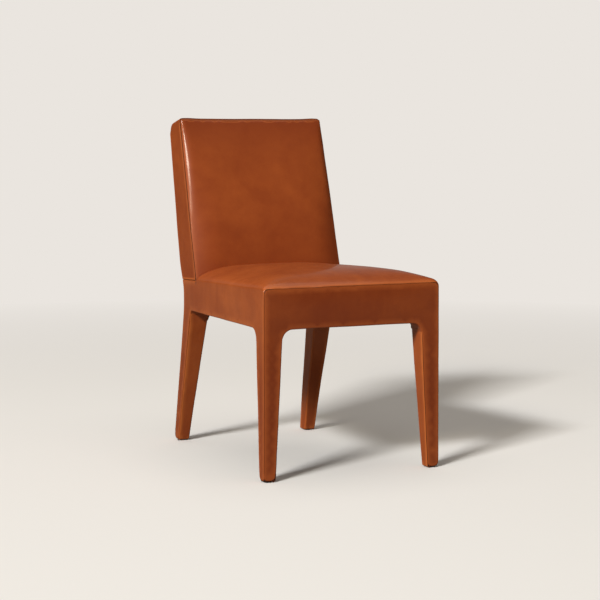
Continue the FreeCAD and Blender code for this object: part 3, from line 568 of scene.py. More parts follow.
@dataclass
class Sheet:
    """Points and faces of one piece, with how near each point lies to a seam.

    Attributes:
        core: A point inside the chair, which the piece's faces turn away from.
        points: The points.
        nearness: How near each point lies to a seam, from 0 to 1.
        faces: The faces, by the numbers of their points.
    """

    core: Vector
    points: list[Vector] = field(default_factory=list)
    nearness: list[float] = field(default_factory=list)
    faces: list[tuple[int, ...]] = field(default_factory=list)

    def add(self, point: Vector, nearness: float = 0.0) -> int:
        """Keep one point and return its number."""
        self.points.append(point)
        self.nearness.append(nearness)
        return len(self.points) - 1

    def patch(self, faces: list[tuple[int, ...]]) -> None:
        """Keep faces that lie side by side, all turned away from the core."""
        outward = 0.0
        for face in faces:
            corners = [self.points[index] for index in face]
            middle = sum(corners, Vector()) / len(corners)
            away = (middle - self.core).normalized()
            outward += geometry.normal(corners).dot(away) * area(corners)
        self.faces.extend(faces if outward > 0 else [tuple(reversed(face)) for face in faces])

    def grid(self, rows: Sequence[Sequence[tuple[Vector, float]]]) -> None:
        """Keep a grid of points, each with its nearness to a seam."""
        numbers = [[self.add(point, near) for point, near in row] for row in rows]
        faces = []
        for low, high in zip(numbers, numbers[1:]):
            for index in range(len(low) - 1):
                faces.append((low[index], low[index + 1], high[index + 1], high[index]))
        self.patch(faces)

    def close(self, loops: Sequence[Sequence[int]]) -> None:
        """Keep a closed form through loops of points, capped at both ends."""
        faces: list[tuple[int, ...]] = []
        for low, high in zip(loops, loops[1:]):
            for index in range(len(low)):
                after = (index + 1) % len(low)
                faces.append((low[index], low[after], high[after], high[index]))
        self.patch(faces + [tuple(reversed(loops[0])), tuple(loops[-1])])

    def panel(self, outline: Sequence[Corner], place: Place,
              spacing: float = 0.018) -> None:
        """Keep a flat or bent panel whose edges roll as their seams ask.

        Args:
            outline: Corners anticlockwise, each with the edge that starts there.
            place: Gives the point and the outward direction of a place on the panel.
            spacing: Distance between the points inside.
        """
        rings: list[list[int]] = []
        flats: list[Vector] = []
        for row in range(EDGE_ROWS):
            ring = []
            for index in range(len(outline)):
                spot, inward = ring_place(outline, index, row)
                point, outward = place(spot.x, spot.y)
                near = max(outline[index - 1][2].nearness(row), outline[index][2].nearness(row))
                ring.append(self.add(point - outward * inward, near))
                if row == 0:
                    flats.append(spot)
            rings.append(ring)
        faces = []
        count = len(outline)
        for inner_ring, outer_ring in zip(rings, rings[1:]):
            for index in range(count):
                if outline[index][2].kind is not EdgeKind.OPEN:
                    after = (index + 1) % count
                    faces.append((outer_ring[index], outer_ring[after],
                                  inner_ring[after], inner_ring[index]))
        rolled = [spot for spot, corner in zip(flats, outline) if corner[2].kind is EdgeKind.SEAM]
        spots, triangles = fill(flats, spacing)
        numbers = list(rings[0])
        for spot in spots[count:]:
            point, _ = place(spot.x, spot.y)
            gap = min((spot - edge).length for edge in rolled)
            numbers.append(self.add(point, fading(gap)))
        faces.extend(tuple(numbers[index] for index in triangle) for triangle in triangles)
        self.patch(faces)

    def make(self, name: str, thickness: float = HIDE, divisions: int = 1,
             uneven: bool = True) -> bpy.types.Object:
        """Turn the gathered points into an object.

        Args:
            name: Name of the piece.
            thickness: Thickness that is added inwards; 0 leaves a closed form as it is.
            divisions: Levels of subdivision.
            uneven: Whether the piece has the slow unevenness of laid leather.

        Returns:
            The finished object.
        """
        form = bmesh.new()
        layer = form.verts.layers.float.new("seam_nearness")
        made = []
        for point, near in zip(self.points, self.nearness):
            vertex = form.verts.new(settle(point) if uneven else point)
            vertex[layer] = near
            made.append(vertex)
        for face in self.faces:
            corners = list(dict.fromkeys(made[index] for index in face))
            if len(corners) > 2 and form.faces.get(corners) is None:
                form.faces.new(corners)
        bmesh.ops.remove_doubles(form, verts=form.verts[:], dist=WELD)
        bmesh.ops.delete(form, geom=[v for v in form.verts if not v.link_faces], context="VERTS")
        data = bpy.data.meshes.new(name)
        form.to_mesh(data)
        form.free()
        for polygon in data.polygons:
            polygon.use_smooth = True
        piece = placed(name, data)
        if divisions:
            smooth = piece.modifiers.new("Smooth", "SUBSURF")
            smooth.levels = smooth.render_levels = divisions
        if thickness:
            solid = piece.modifiers.new("Thickness", "SOLIDIFY")
            solid.thickness = thickness
            solid.offset = -1.0
        return piece


def area(corners: Sequence[Vector]) -> float:
    """Area of a face with three or more corners."""
    total = Vector()
    for index in range(1, len(corners) - 1):
        total += (corners[index] - corners[0]).cross(corners[index + 1] - corners[0])
    return total.length / 2


def ring_place(outline: Sequence[Corner], index: int, row: int) -> tuple[Vector, float]:
    """Place one corner of a panel's outline on one of its rolled rows.

    Args:
        outline: Corners anticlockwise, each with the edge that starts there.
        index: Number of the corner.
        row: Number of the row, from flat to hidden.

    Returns:
        The place on the panel, and its depth under the surface.
    """
    before, here, after = (outline[index - 1], outline[index], outline[(index + 1) % len(outline)])
    spot = Vector((here[0], here[1]))
    arriving = (spot - Vector((before[0], before[1]))).normalized()
    leaving = (Vector((after[0], after[1])) - spot).normalized()
    first = Vector((-arriving.y, arriving.x))
    second = Vector((-leaving.y, leaving.x))
    (first_along, first_in), (second_along, second_in) = before[2].rows()[row], here[2].rows()[row]
    cross = first.x * second.y - first.y * second.x
    if abs(cross) > SHARP_TURN:
        shift = Vector((first_along * second.y - second_along * first.y,
                        second_along * first.x - first_along * second.x)) / cross
        return spot + shift, first_in + second_in
    shift = (first + second).normalized() * (first_along + second_along) / 2
    return spot + shift, (first_in + second_in) / 2


def holds(outline: Sequence[Vector], spot: Vector) -> bool:
    """Whether an outline goes round a place."""
    inside = False
    for first, second in zip(outline, list(outline[1:]) + [outline[0]]):
        if (first.y > spot.y) != (second.y > spot.y):
            crossing = first.x + (spot.y - first.y) * (second.x - first.x) / (second.y - first.y)
            if spot.x < crossing:
                inside = not inside
    return inside


def fill(outline: list[Vector], spacing: float) -> tuple[list[Vector], list[tuple[int, ...]]]:
    """Fill an outline with triangles on evenly spread points.

    Args:
        outline: The outline's corners, anticlockwise.
        spacing: Distance between the points inside.

    Returns:
        The places, outline first, and the triangles by number.
    """
    low = Vector((min(spot.x for spot in outline), min(spot.y for spot in outline)))
    high = Vector((max(spot.x for spot in outline), max(spot.y for spot in outline)))
    spots = list(outline)
    line = 0
    height = low.y + spacing / 2
    while height < high.y:
        across = low.x + spacing * (0.5 if line % 2 else 1.0)
        while across < high.x:
            spot = Vector((across, height))
            clearance = min((spot - edge).length for edge in outline)
            if clearance > spacing * RIM_GAP and holds(outline, spot):
                spots.append(spot)
            across += spacing
        height += spacing * ROW_STEP
        line += 1
    found, _, triangles, origin, _, _ = geometry.delaunay_2d_cdt(
        spots, [], [list(range(len(outline)))], 1, 1e-7)
    named = [sources[0] if sources else None for sources in origin]
    kept = [tuple(named[index] for index in triangle) for triangle in triangles]
    return spots, [triangle for triangle in kept if None not in triangle]


def straight(start: Row, end: Row, edge: Union[Edge, Callable[[float], Edge]],
             step: float = 0.015) -> list[Corner]:
    """Divide a straight edge, without its last corner.

    Args:
        start: First corner.
        end: Last corner.
        edge: What the edge does, or a function of the share along it.
        step: Length of a division.

    Returns:
        The corners, each with its edge.
    """
    count = max(1, round(math.dist(start, end) / step))
    made = []
    for index in range(count):
        share = index / count
        kind = edge if isinstance(edge, Edge) else edge((index + 0.5) / count)
        made.append((mix(start[0], end[0], share), mix(start[1], end[1], share), kind))
    return made


def rounded(before: Row, corner: Row, after: Row, radius: float,
            edge: Callable[[float], Edge]) -> tuple[Row, Row, list[Corner]]:
    """Round a corner between two straight edges.

    Args:
        before: A place on the edge that arrives.
        corner: Where the two edges would meet.
        after: A place on the edge that leaves.
        radius: Radius of the arc.
        edge: What the arc's edge does, as a function of the share along it.

    Returns:
        Where the arc starts, where it ends, and its corners without the last.
    """
    point = Vector(corner)
    back = (Vector(before) - point).normalized()
    ahead = (Vector(after) - point).normalized()
    half = back.angle(ahead) / 2
    reach = radius / math.tan(half)
    centre = point + (back + ahead).normalized() * (radius / math.sin(half))
    start, end = point + back * reach, point + ahead * reach
    first, last = start - centre, end - centre
    sweep = first.angle_signed(last)
    count = 9
    made = []
    for index in range(count):
        angle = -sweep * index / count
        turned = Vector((first.x * math.cos(angle) - first.y * math.sin(angle),
                         first.x * math.sin(angle) + first.y * math.cos(angle)))
        spot = centre + turned
        made.append((spot.x, spot.y, edge((index + 0.5) / count)))
    return (start.x, start.y), (end.x, end.y), made


def arch(foot: Row, head: Row, far_head: Row, far_foot: Row, radius: float, far_radius: float,
         leg: Edge) -> list[Corner]:
    """Outline from one foot up, under an apron and down to the other foot, without the last corner.

    Args:
        foot: Inner corner of the first foot.
        head: Where the first leg meets the apron.
        far_head: Where the second leg meets the apron.
        far_foot: Inner corner of the second foot.
        radius: Radius at the first leg.
        far_radius: Radius at the second leg.
        leg: What the leg's edges do.

    Returns:
        The corners, each with its edge.
    """
    start, level, near = rounded(foot, head, far_head, radius, gusset_hem(True))
    end, down, far = rounded(head, far_head, far_foot, far_radius, gusset_hem(False))
    return (straight(foot, start, leg) + near + straight(level, end, APRON_HEM) + far
            + straight(down, far_foot, leg))


def inflate(name: str, grid: list[list[Vector]], free: Callable[[int, int], bool],
            pressure: float = 4.0, cap: float = 0.008) -> list[list[Vector]]:
    """Press a padded surface out from behind with a short cloth simulation.

    Args:
        name: Name of the surface while it is simulated.
        grid: Points of the surface, row by row.
        free: Whether the point in a row and a column may move.
        pressure: Pressure behind the cloth.
        cap: How far a point may move.

    Returns:
        The points after the simulation.
    """
    width = len(grid[0])
    points = [point for row in grid for point in row]
    faces = []
    for row in range(len(grid) - 1):
        for column in range(width - 1):
            low = row * width + column
            faces.append((low, low + 1, low + width + 1, low + width))
    data = bpy.data.meshes.new(name)
    data.from_pydata([tuple(point) for point in points], [], faces)
    cloth_piece = placed(name, data)
    held = cloth_piece.vertex_groups.new(name="held")
    held.add([index for index in range(len(points)) if not free(index // width, index % width)],
             1.0, "REPLACE")
    cloth = cloth_piece.modifiers.new("Cloth", "CLOTH")
    settings = cloth.settings
    settings.quality = 6
    settings.mass = 0.4
    settings.tension_stiffness = 60.0
    settings.compression_stiffness = 60.0
    settings.shear_stiffness = 20.0
    settings.bending_stiffness = 6.0
    settings.use_pressure = True
    settings.uniform_pressure_force = pressure
    settings.effector_weights.gravity = 0.0
    settings.vertex_group_mass = "held"
    frames = 20
    cloth.point_cache.frame_end = frames
    scene = bpy.context.scene
    for frame in range(1, frames + 1):
        scene.frame_set(frame)
    shown = cloth_piece.evaluated_get(bpy.context.evaluated_depsgraph_get())
    moved = [vertex.co.copy() for vertex in shown.data.vertices]
    made = []
    furthest = 0.0
    for row in range(len(grid)):
        line = []
        for column in range(width):
            index = row * width + column
            step = moved[index] - points[index]
            furthest = max(furthest, step.length)
            if step.length > cap:
                step *= cap / step.length
            line.append(points[index] + step)
        made.append(line)
    bpy.data.objects.remove(cloth_piece)
    scene.frame_set(1)
    LOG.info("%s: the padding pressed out by up to %.1f mm", name, furthest * 1000)
    return made


# Leather pieces


@dataclass
class SeatCushion:
    """The seat: foam with a crown, under one piece of leather that folds over both sides.

    Attributes:
        shape: Main lines of the chair.
        shoulder: Side view of the crown's edge.
        bow: Further rise in the middle.
        softness: Radius of the crown's corners, over the distance from its edges.
        fold: Radius of the fold along the sides.
        fold_end: Depths between which the fold runs out under the back.
        front_blend: Distance behind the fold over which the front edge takes up the crown's slope.
        side_blend: Depth over which the sides do the same.
        drop: How far under the edge the sides carry on as flat panels.
        slack: Share of the crown that the leather has before the foam presses it out.
        rear_end: Depth of the last row at the sides.
        spare: How much further back the middle runs, under the back.
        spare_start: Depth at which that begins.
        foam_bottom: Height of the foam's flat underside.
        foam_taper: Width of that underside, over the width of the top.
        side_points: Points of a section on each side, up to the end of the fold.
        crown_columns: Points from the fold to the middle.
        crowding: How much closer they lie near the fold.
    """

    shape: ChairShape
    shoulder: Shoulder = Shoulder(radius=0.018, start=70.0, rest=28.0, width=0.100)
    bow: float = 0.005
    softness: float = 0.9
    fold: float = 0.0115
    fold_end: Row = (0.43, 0.503)
    front_blend: float = 0.012
    side_blend: float = 0.010
    drop: float = 0.016
    slack: float = 0.99
    rear_end: float = 0.5075
    spare: float = 0.016
    spare_start: float = 0.40
    foam_bottom: float = 0.4515
    foam_taper: float = 0.985
    side_points: int = 8
    crown_columns: int = 14
    crowding: float = 1.3

    def rise(self, across: float, depth: float) -> float:
        """Height of the crown over the seam plane."""
        half = self.shape.half(depth)
        inside = edge_distance(half - abs(across), depth, self.softness)
        bowed = self.bow * (1 - (across / half) ** 2) * ease(0.0, self.shoulder.width, depth)
        height = self.shoulder.rise(inside) + bowed
        return self.shape.seam_wall + height * self.slack

    def front_turn(self, across: float) -> float:
        """Degrees between the front apron and the seat's rise behind the front seam."""
        inside = self.shape.half(0.0) - abs(across)
        steep = ease(self.fold / 2, self.fold + self.front_blend, inside)
        return 90.0 - self.shoulder.start * steep

    def fold_at(self, depth: float) -> float:
        """Radius of the side fold at a depth."""
        return mix(self.fold, TIGHT_FOLD, ease(*self.fold_end, depth))

    def section(self, depth: float) -> list[Vector]:
        """Points across the seat at a depth, from low on one side over the crown to the other."""
        half = self.shape.half(depth)
        corner = self.shape.seam(depth) + self.shape.seam_wall
        turn = math.radians(90.0 - self.shoulder.start * ease(0.0, self.side_blend, depth))
        radius = self.fold_at(depth)
        reach = radius * math.tan(turn / 2)
        face = self.shape.side_face(1)
        side = [(face(depth, level)[0].x, level)
                for level in (corner - self.drop, corner - (self.drop + reach) / 2)]
        arc_points = self.side_points - len(side)
        for index in range(arc_points):
            angle = turn * index / (arc_points - 1)
            level = corner - reach + radius * math.sin(angle)
            side.append((face(depth, level)[0].x - radius + radius * math.cos(angle), level))
        start = side[-1][0]
        for index in range(1, self.crown_columns + 1):
            across = start * (1 - (index / self.crown_columns) ** self.crowding)
            side.append((across, self.shape.seam(depth) + self.rise(across, depth)))
        y = self.shape.y(depth)
        left = [Vector((-across, y, height)) for across, height in side]
        right = [Vector((across, y, height)) for across, height in reversed(side[:-1])]
        return left + right

    def depths(self) -> list[float]:
        """Depths of the rows behind the front seam's rolled edge."""
        near = [0.009, 0.0125, 0.018, 0.026, 0.036, 0.048, 0.062, 0.080]
        far = [mix(0.097, self.rear_end, index / 27) for index in range(28)]
        return near + far

    def stretched(self, column: int, columns: int, depth: float) -> float:
        """Carry the middle of the seat on behind the front of the back."""
        inside = min(column, columns - 1 - column) - self.side_points - 2
        late = ease(self.spare_start, self.rear_end, depth)
        return depth + self.spare * ease(0.0, 6.0, inside) * late

    def surface(self) -> tuple[list[list[Vector]], list[list[float]]]:
        """Build the seat's grid, with the front edge rolled into its seam.

        Returns:
            The points and their nearness to the seam, row by row from the front.
        """
        columns = len(self.section(0.1))
        grid: list[list[Vector]] = []
        near: list[list[float]] = []
        step = 0.0004
        first = self.section(step)
        turns = []
        for column in range(columns):
            crown_column = self.side_points <= column < columns - self.side_points
            turns.append(self.front_turn(first[column].x) if crown_column else 90.0)
        for row in reversed(range(EDGE_ROWS)):
            line = []
            for column in range(columns):
                along, inward = Edge(EdgeKind.SEAM, turns[column], lip=HAIR_LIP).rows()[row]
                depth = along * math.sin(math.radians(turns[column]))
                here, ahead = self.section(depth), self.section(depth + step)
                low, high = max(column - 1, 0), min(column + 1, columns - 1)
                outward = (here[high] - here[low]).cross(ahead[column] - here[column])
                if column in (0, columns - 1):
                    outward = self.shape.side_face(-1 if column == 0 else 1)(0.0, 0.4)[1]
                line.append(here[column] - outward.normalized() * inward)
            grid.append(line)
            near.append([SIDE_SEAM.nearness(row)] * columns)
        for depth in self.depths():
            line = []
            for column in range(columns):
                line.append(self.section(self.stretched(column, columns, depth))[column])
            grid.append(line)
            near.append([fading(depth)] * columns)
        return grid, near

    def outline(self, edge_points: list[Row]) -> list[Corner]:
        """Outline of a side panel, by depth and height.

        Args:
            edge_points: The panel's open upper edge, from the back to the front.

        Returns:
            The corners, each with its edge.
        """
        shape = self.shape
        front_foot = (shape.front_leg_at(FOOT_LINE)[1], FOOT_LINE)
        back_foot = (shape.back_leg_at(FOOT_LINE)[1], FOOT_LINE)
        made = straight((0.0, FOOT_LINE), front_foot, FOOT_EDGE, FOOT_STEP)
        made += arch(front_foot, (shape.front_leg[1], shape.apron),
                     (shape.back_leg[1], shape.apron), back_foot,
                     shape.arch, shape.rear_arch, SIDE_SEAM)
        made += straight(back_foot, (shape.rear(FOOT_LINE), FOOT_LINE), FOOT_EDGE, FOOT_STEP)
        made += [(shape.rear(level), level, SIDE_SEAM) for level in shape.rear_levels()[:-1]]
        last = edge_points[0][0]
        stub = [point.z for point in self.section(last)[2:0:-1]]

        def dying(share: float) -> Edge:
            """Flat seam whose lip dies away at its end."""
            lip = mix(FLAT_SEAM.lip, HAIR_LIP, ease(0.8, 1.0, share))
            return Edge(EdgeKind.SEAM, FLAT_SEAM.turn, lip=lip)

        made += straight((shape.rear(shape.panel_foot), shape.panel_foot), (last, stub[0]), dying)
        made += [(last, height, OPEN_EDGE) for height in stub]
        made += [(depth, height, OPEN_EDGE) for depth, height in edge_points[:-1]]
        return made + straight(edge_points[-1], (0.0, FOOT_LINE), SIDE_SEAM)

    def build(self) -> tuple[bpy.types.Object, bpy.types.Object]:
        """Build the leather and the foam under it.

        Returns:
            The seat's leather and its foam.
        """
        shape = self.shape
        grid, near = self.surface()
        columns, last_row = len(grid[0]), len(grid) - 1
        margin = self.side_points + 1
        grid = inflate("seat_panel", grid, lambda row, column: EDGE_ROWS <= row < last_row
                       and margin <= column < columns - margin)
        leather = Sheet(Vector((0.0, shape.y(0.30), 0.30)))
        leather.grid([list(zip(line, marks)) for line, marks in zip(grid, near)])
        for _, sign in SIDES:
            upper = [(depth, shape.seam(depth) + shape.seam_wall - self.drop)
                     for depth in reversed([0.0] + self.depths())]
            leather.panel(self.outline(upper), shape.side_face(sign))
        cover = leather.make("seat_leather")
        return cover, self.foam(grid)

    def foam(self, grid: list[list[Vector]]) -> bpy.types.Object:
        """Close a foam pad under the seat's leather."""
        pad = Sheet(Vector((0.0, self.shape.y(0.28), 0.47)))
        loops = []
        rows = grid[EDGE_ROWS:]
        for index, line in enumerate(rows):
            before, after = rows[max(index - 1, 0)], rows[min(index + 1, len(rows) - 1)]
            loop = []
            for column, point in enumerate(line):
                low, high = line[max(column - 1, 0)], line[min(column + 1, len(line) - 1)]
                outward = (high - low).cross(after[column] - before[column]).normalized()
                loop.append(pad.add(point - outward * PAD_INSET))
            for end in (line[-1], line[0]):
                loop.append(pad.add(Vector((end.x * self.foam_taper, end.y, self.foam_bottom))))
            loops.append(loop)
        pad.close(loops)
        return pad.make("seat_foam_pad", thickness=0.0, divisions=0)


@dataclass
class FrontApron:
    """Leather over the front apron and the fronts of the front legs.

    Attributes:
        shape: Main lines of the chair.
        seat: The seat, whose front edge the panel meets.
    """

    shape: ChairShape
    seat: SeatCushion

    def build(self) -> bpy.types.Object:
        """Build the panel, rolled into the seat's seam at the top."""
        shape = self.shape
        half, top = shape.front_width / 2, shape.seam_front + shape.seam_wall
        foot, head = shape.front_leg_at(FOOT_LINE)[0], half - shape.front_leg[0]
        outline = straight((-half, FOOT_LINE), (-foot, FOOT_LINE), FOOT_EDGE, FOOT_STEP)
        outline += arch((-foot, FOOT_LINE), (-head, shape.apron), (head, shape.apron),
                        (foot, FOOT_LINE), shape.arch, shape.arch, SIDE_SEAM)
        outline += straight((foot, FOOT_LINE), (half, FOOT_LINE), FOOT_EDGE, FOOT_STEP)
        fold = self.seat.fold

        def top_edge(share: float) -> Edge:
            """Seam against the seat, which turns less where the crown rises."""
            across = mix(half - fold, fold - half, share)
            return Edge(EdgeKind.SEAM, self.seat.front_turn(across), lip=HAIR_LIP)

        def side_edge(_: float) -> Edge:
            """Seam round a top corner."""
            return SIDE_SEAM

        rise, level, right = rounded((half, FOOT_LINE), (half, top), (-half, top), fold, side_edge)
        end, down, left = rounded((half, top), (-half, top), (-half, FOOT_LINE), fold, side_edge)
        outline += straight((half, FOOT_LINE), rise, SIDE_SEAM) + right[::2]
        outline += straight(level, end, top_edge) + left[::2]
        outline += straight(down, (-half, FOOT_LINE), SIDE_SEAM)
        leather = Sheet(Vector((0.0, shape.y(0.30), 0.30)))
        leather.panel(outline, shape.front_face)
        return leather.make("front_apron_leather")


@dataclass
class RearApron:
    """Leather over the rear apron and the backs of the back legs."""

    shape: ChairShape

    def build(self) -> bpy.types.Object:
        """Build the panel, bent with the rake of the legs and the flare over them."""
        shape = self.shape
        foot = shape.back_leg_at(FOOT_LINE)[0]
        head = shape.back_leg_at(shape.apron)[0]
        right = [(shape.half(shape.rear(level)), level) for level in shape.rear_levels()]
        outline = [(-right[0][0], FOOT_LINE, FOOT_EDGE)]
        outline += arch((-foot, FOOT_LINE), (-head, shape.apron), (head, shape.apron),
                        (foot, FOOT_LINE), shape.arch, shape.arch, SIDE_SEAM)
        outline.append((foot, FOOT_LINE, FOOT_EDGE))
        outline += [(across, level, SIDE_SEAM) for across, level in right[:-1]]
        outline += straight(right[-1], (-right[-1][0], right[-1][1]), FLAT_SEAM)
        outline += [(-across, level, SIDE_SEAM) for across, level in reversed(right[1:])]
        leather = Sheet(Vector((0.0, shape.y(0.30), 0.40)))
        leather.panel(outline, shape.rear_face, spacing=0.012)
        return leather.make("rear_apron_leather")


@dataclass
class OutsideBack:
    """Leather panel over the outside of the back.

    Attributes:
        shape: Main lines of the chair.
        belly: How far the panel swells in the middle.
    """

    shape: ChairShape
    belly: float = 0.0022

    def place(self, across: float, height: float) -> tuple[Vector, Vector]:
        """Point and outward direction on the panel, which swells a little in the middle."""
        point, outward = self.shape.rear_face(across, height)
        low, high = self.shape.panel_foot, self.shape.panel_top
        up = (height - low) / (high - low)
        side = across / self.shape.half(self.shape.rear(height))
        swollen = self.belly * max(0.0, 4 * up * (1 - up)) * max(0.0, 1 - side * side)
        return point + outward * swollen, outward

    def build(self) -> bpy.types.Object:
        """Build the panel on a grid, with all four edges rolled into their seams."""
        shape = self.shape
        low, high = shape.panel_foot, shape.panel_top
        upright = Span(FLAT_SEAM, FLAT_SEAM, even(26))
        level_span = Span(SIDE_SEAM, SIDE_SEAM, even(24))
        rows = []
        for station in upright.stations(high - low):
            height = low + station.at
            half = shape.half(shape.rear(height))
            row = []
            for across in level_span.stations(2 * half):
                point, outward = self.place(across.at - half, height)
                row.append((point - outward * (station.inward + across.inward),
                            max(station.nearness, across.nearness)))
            rows.append(row)
        leather = Sheet(Vector((0.0, shape.y(0.55), 0.68)))
        leather.grid(rows)
        return leather.make("outside_back_leather")


@dataclass
class BackCushion:
    """The front of the back: foam with a low crown under a panel sewn to the boxing.

    Attributes:
        shape: Main lines of the chair.
        shoulder: Side view of the crown's sides, high up.
        belly: The same, low down.
        belly_levels: Heights between which the one goes over into the other.
        crest: Side view of the crown's top.
        top_lip: Radius of the top seam's lip.
        top_shade_nearness: Greatest nearness to the top seam, which paints a thin line of shade
            along the top, less dark than at the side seams.
        top_range: Nearness at which that begins, and at which it is reached.
        tuck: Share of the crown that is pulled in at the foot.
        tuck_height: Height over the foot at which the pull ends.
        bow: Further swell in the middle.
        corner: Radius of the top corners.
        side_crowding: How much closer the columns of points lie near the sides.
        top_crowding: How much closer the rows lie near the top.
        foot: Height of the lower edge, behind the seat.
        slack: Share of the crown that the leather has before the foam presses it out.
        pad_inset: Depth of the foam under the outer face of the leather.
        post_front: Depth of the posts' fronts at their feet and at their tops.
        post_levels: Height of those feet and tops.
        post_gap: Distance between the foam and the posts.
        rear_gap: Distance between the foam over the posts and the rear of the chair.
        rear_drop: How far the foam's rear edge lies under its crest.
        side_gap: Distance between the foam's rear edges and the sides of the chair.
    """

    shape: ChairShape
    shoulder: Shoulder = Shoulder(radius=0.034, start=59.0, rest=10.0, width=0.130)
    belly: Shoulder = Shoulder(radius=0.050, start=38.0, rest=29.0, width=0.090)
    belly_levels: Row = (0.59, 0.76)
    crest: Shoulder = Shoulder(radius=0.014, start=64.0, rest=9.0, width=0.320)
    top_lip: float = 0.0026
    top_shade_nearness: float = 0.72
    top_range: Row = (0.24, 0.40)
    tuck: float = 0.40
    tuck_height: float = 0.20
    bow: float = 0.003
    corner: float = 0.008
    side_crowding: float = 0.55
    top_crowding: float = 1.25
    foot: float = 0.462
    slack: float = 0.98
    pad_inset: float = 0.0024
    post_front: Row = (0.5545, 0.6750)
    post_levels: Row = (0.448, 0.868)
    post_gap: float = 0.003
    rear_gap: float = 0.008
    rear_drop: float = 0.021
    side_gap: float = 0.006

    def rise(self, across: float, height: float) -> float:
        """Swell of the front at a place, in front of the seam plane."""
        half = self.shape.half(self.shape.back_front(height))
        top = self.shape.back_top - height
        inside = half - abs(across)
        side = mix(self.belly.rise(inside), self.shoulder.rise(inside),
                   ease(*self.belly_levels, height))
        side += self.bow * (1 - (across / half) ** 2)
        above = self.crest.rise(top)
        joined = sum(max(part, 1e-5) ** -5 for part in (side, above)) ** (-1 / 5)
        low = max(0.0, 1.0 - (height - self.foot) / self.tuck_height)
        return joined * (1.0 - self.tuck * low * low) * self.slack

    def side_turn(self, height: float) -> float:
        """Degrees between the boxing's side and the panel at a height."""
        half = self.shape.half(self.shape.back_front(height))
        step = 0.001
        return 90.0 - math.degrees(math.atan2(self.rise(half - step, height), step))

    def top_turn(self, across: float) -> float:
        """Degrees between the boxing's top and the panel at a place across."""
        step = 0.001
        rise = self.rise(across, self.shape.back_top - step)
        return 95.0 - math.degrees(math.atan2(rise, step))

    def point(self, across: float, height: float) -> Vector:
        """Point on the swollen front."""
        depth = self.shape.back_front(height) - self.rise(across, height)
        return Vector((across, self.shape.y(depth), height))

    def surface(self) -> tuple[list[list[Vector]], list[list[float]]]:
        """Build the panel's grid, rolled into its side and top seams.

        Returns:
            The points and their nearness to a seam, row by row from the foot.
        """
        shape = self.shape
        top = shape.back_top
        shares = tuple(mix(share, ease(0.0, 1.0, share), self.side_crowding) for share in even(36))
        rising = tuple(1 - (1 - share) ** self.top_crowding for share in even(36))
        upright = Span(OPEN_EDGE, back_seam(40.0), rising)
        level = Span(back_seam(40.0), back_seam(40.0), shares)
        across_base = level.stations(shape.front_width)
        rows, marks = [], []
        for row, station in enumerate(upright.stations(top - self.foot)):
            line, near = [], []
            nominal = min(self.foot + station.at, top - 0.001)
            side_edge = back_seam(self.side_turn(nominal))
            for column in range(len(across_base)):
                half = shape.half(shape.back_front(nominal))
                spot = level.stations(2 * half, side_edge, side_edge)[column]
                across = spot.at - half
                safe = max(-half + 0.001, min(half - 0.001, across))
                top_edge = back_seam(self.top_turn(safe), self.top_lip)
                raised = upright.stations(top - self.foot, OPEN_EDGE, top_edge)[row]
                across, height = self.round_corner(across, self.foot + raised.at, half)
                line.append(self.sunk(across, height, spot.inward + raised.inward))
                # Rows by the top seam get a nearness that paints a thin line of shade along the
                # top.
                top_near = self.top_shade_nearness * ease(*self.top_range, raised.nearness)
                near.append(max(spot.nearness, top_near))
            rows.append(line)
            marks.append(near)
        return rows, marks

    def round_corner(self, across: float, height: float, half: float) -> Row:
        """Pull the panel's square top corners in to their radius."""
        side = abs(across) - (half - self.corner)
        up = height - (self.shape.back_top - self.corner)
        if side <= 0 or up <= 0:
            return across, height
        scale = max(side, up) / math.hypot(side, up)
        return (math.copysign(half - self.corner + side * scale, across),
                self.shape.back_top - self.corner + up * scale)

    def sunk(self, across: float, height: float, inward: float) -> Vector:
        """Point at a depth under the panel's surface."""
        step = 0.0006
        here = self.point(across, height)
        level = self.point(across + step, height) - self.point(across - step, height)
        upright = self.point(across, height + step) - self.point(across, height - step)
        return here - level.cross(upright).normalized() * inward

    def build(self) -> tuple[bpy.types.Object, bpy.types.Object]:
        """Build the panel and the foam behind it.

        Returns:
            The panel and the foam.
        """
        grid, near = self.surface()
        columns, rows = len(grid[0]), len(grid)
        margin = EDGE_ROWS + 1
        grid = inflate("back_panel", grid, lambda row, column: 1 <= row < rows - margin
                       and margin <= column < columns - margin)
        leather = Sheet(Vector((0.0, self.shape.y(0.66), 0.68)))
        leather.grid([list(zip(line, marks)) for line, marks in zip(grid, near)])
        return leather.make("back_front_leather"), self.foam(grid)

    def foam(self, grid: list[list[Vector]]) -> bpy.types.Object:
        """Close a foam pad behind the panel; over the posts it reaches the rear."""
        shape = self.shape
        pad = Sheet(Vector((0.0, shape.y(0.62), 0.68)))
        low, high = self.post_levels
        loops = []
        stepped = False
        lines = grid[2:-EDGE_ROWS]
        crest = lines[-1][len(lines[-1]) // 2].z
        for line in lines:
            level = line[len(line) // 2].z
            post = mix(*self.post_front, (level - low) / (high - low)) - self.post_gap
            sunk = self.rear_drop * max(0.0, (level - high) / (crest - high))
            over = shape.rear(level - sunk) - self.rear_gap
            rears = [post] if level < high else ([over] if stepped else [post, over])
            stepped = stepped or level >= high
            for rear in rears:
                loop = [pad.add(point + Vector((0.0, self.pad_inset, 0.0)))
                        for point in line[EDGE_ROWS - 2:-(EDGE_ROWS - 2)]]
                for end in (line[-EDGE_ROWS], line[EDGE_ROWS - 1]):
                    across = math.copysign(shape.half(rear) - self.side_gap, end.x)
                    loop.append(pad.add(Vector((across, shape.y(rear), end.z - sunk))))
                loops.append(loop)
        pad.close(loops)
        return pad.make("back_foam_pad", thickness=0.0, divisions=0)


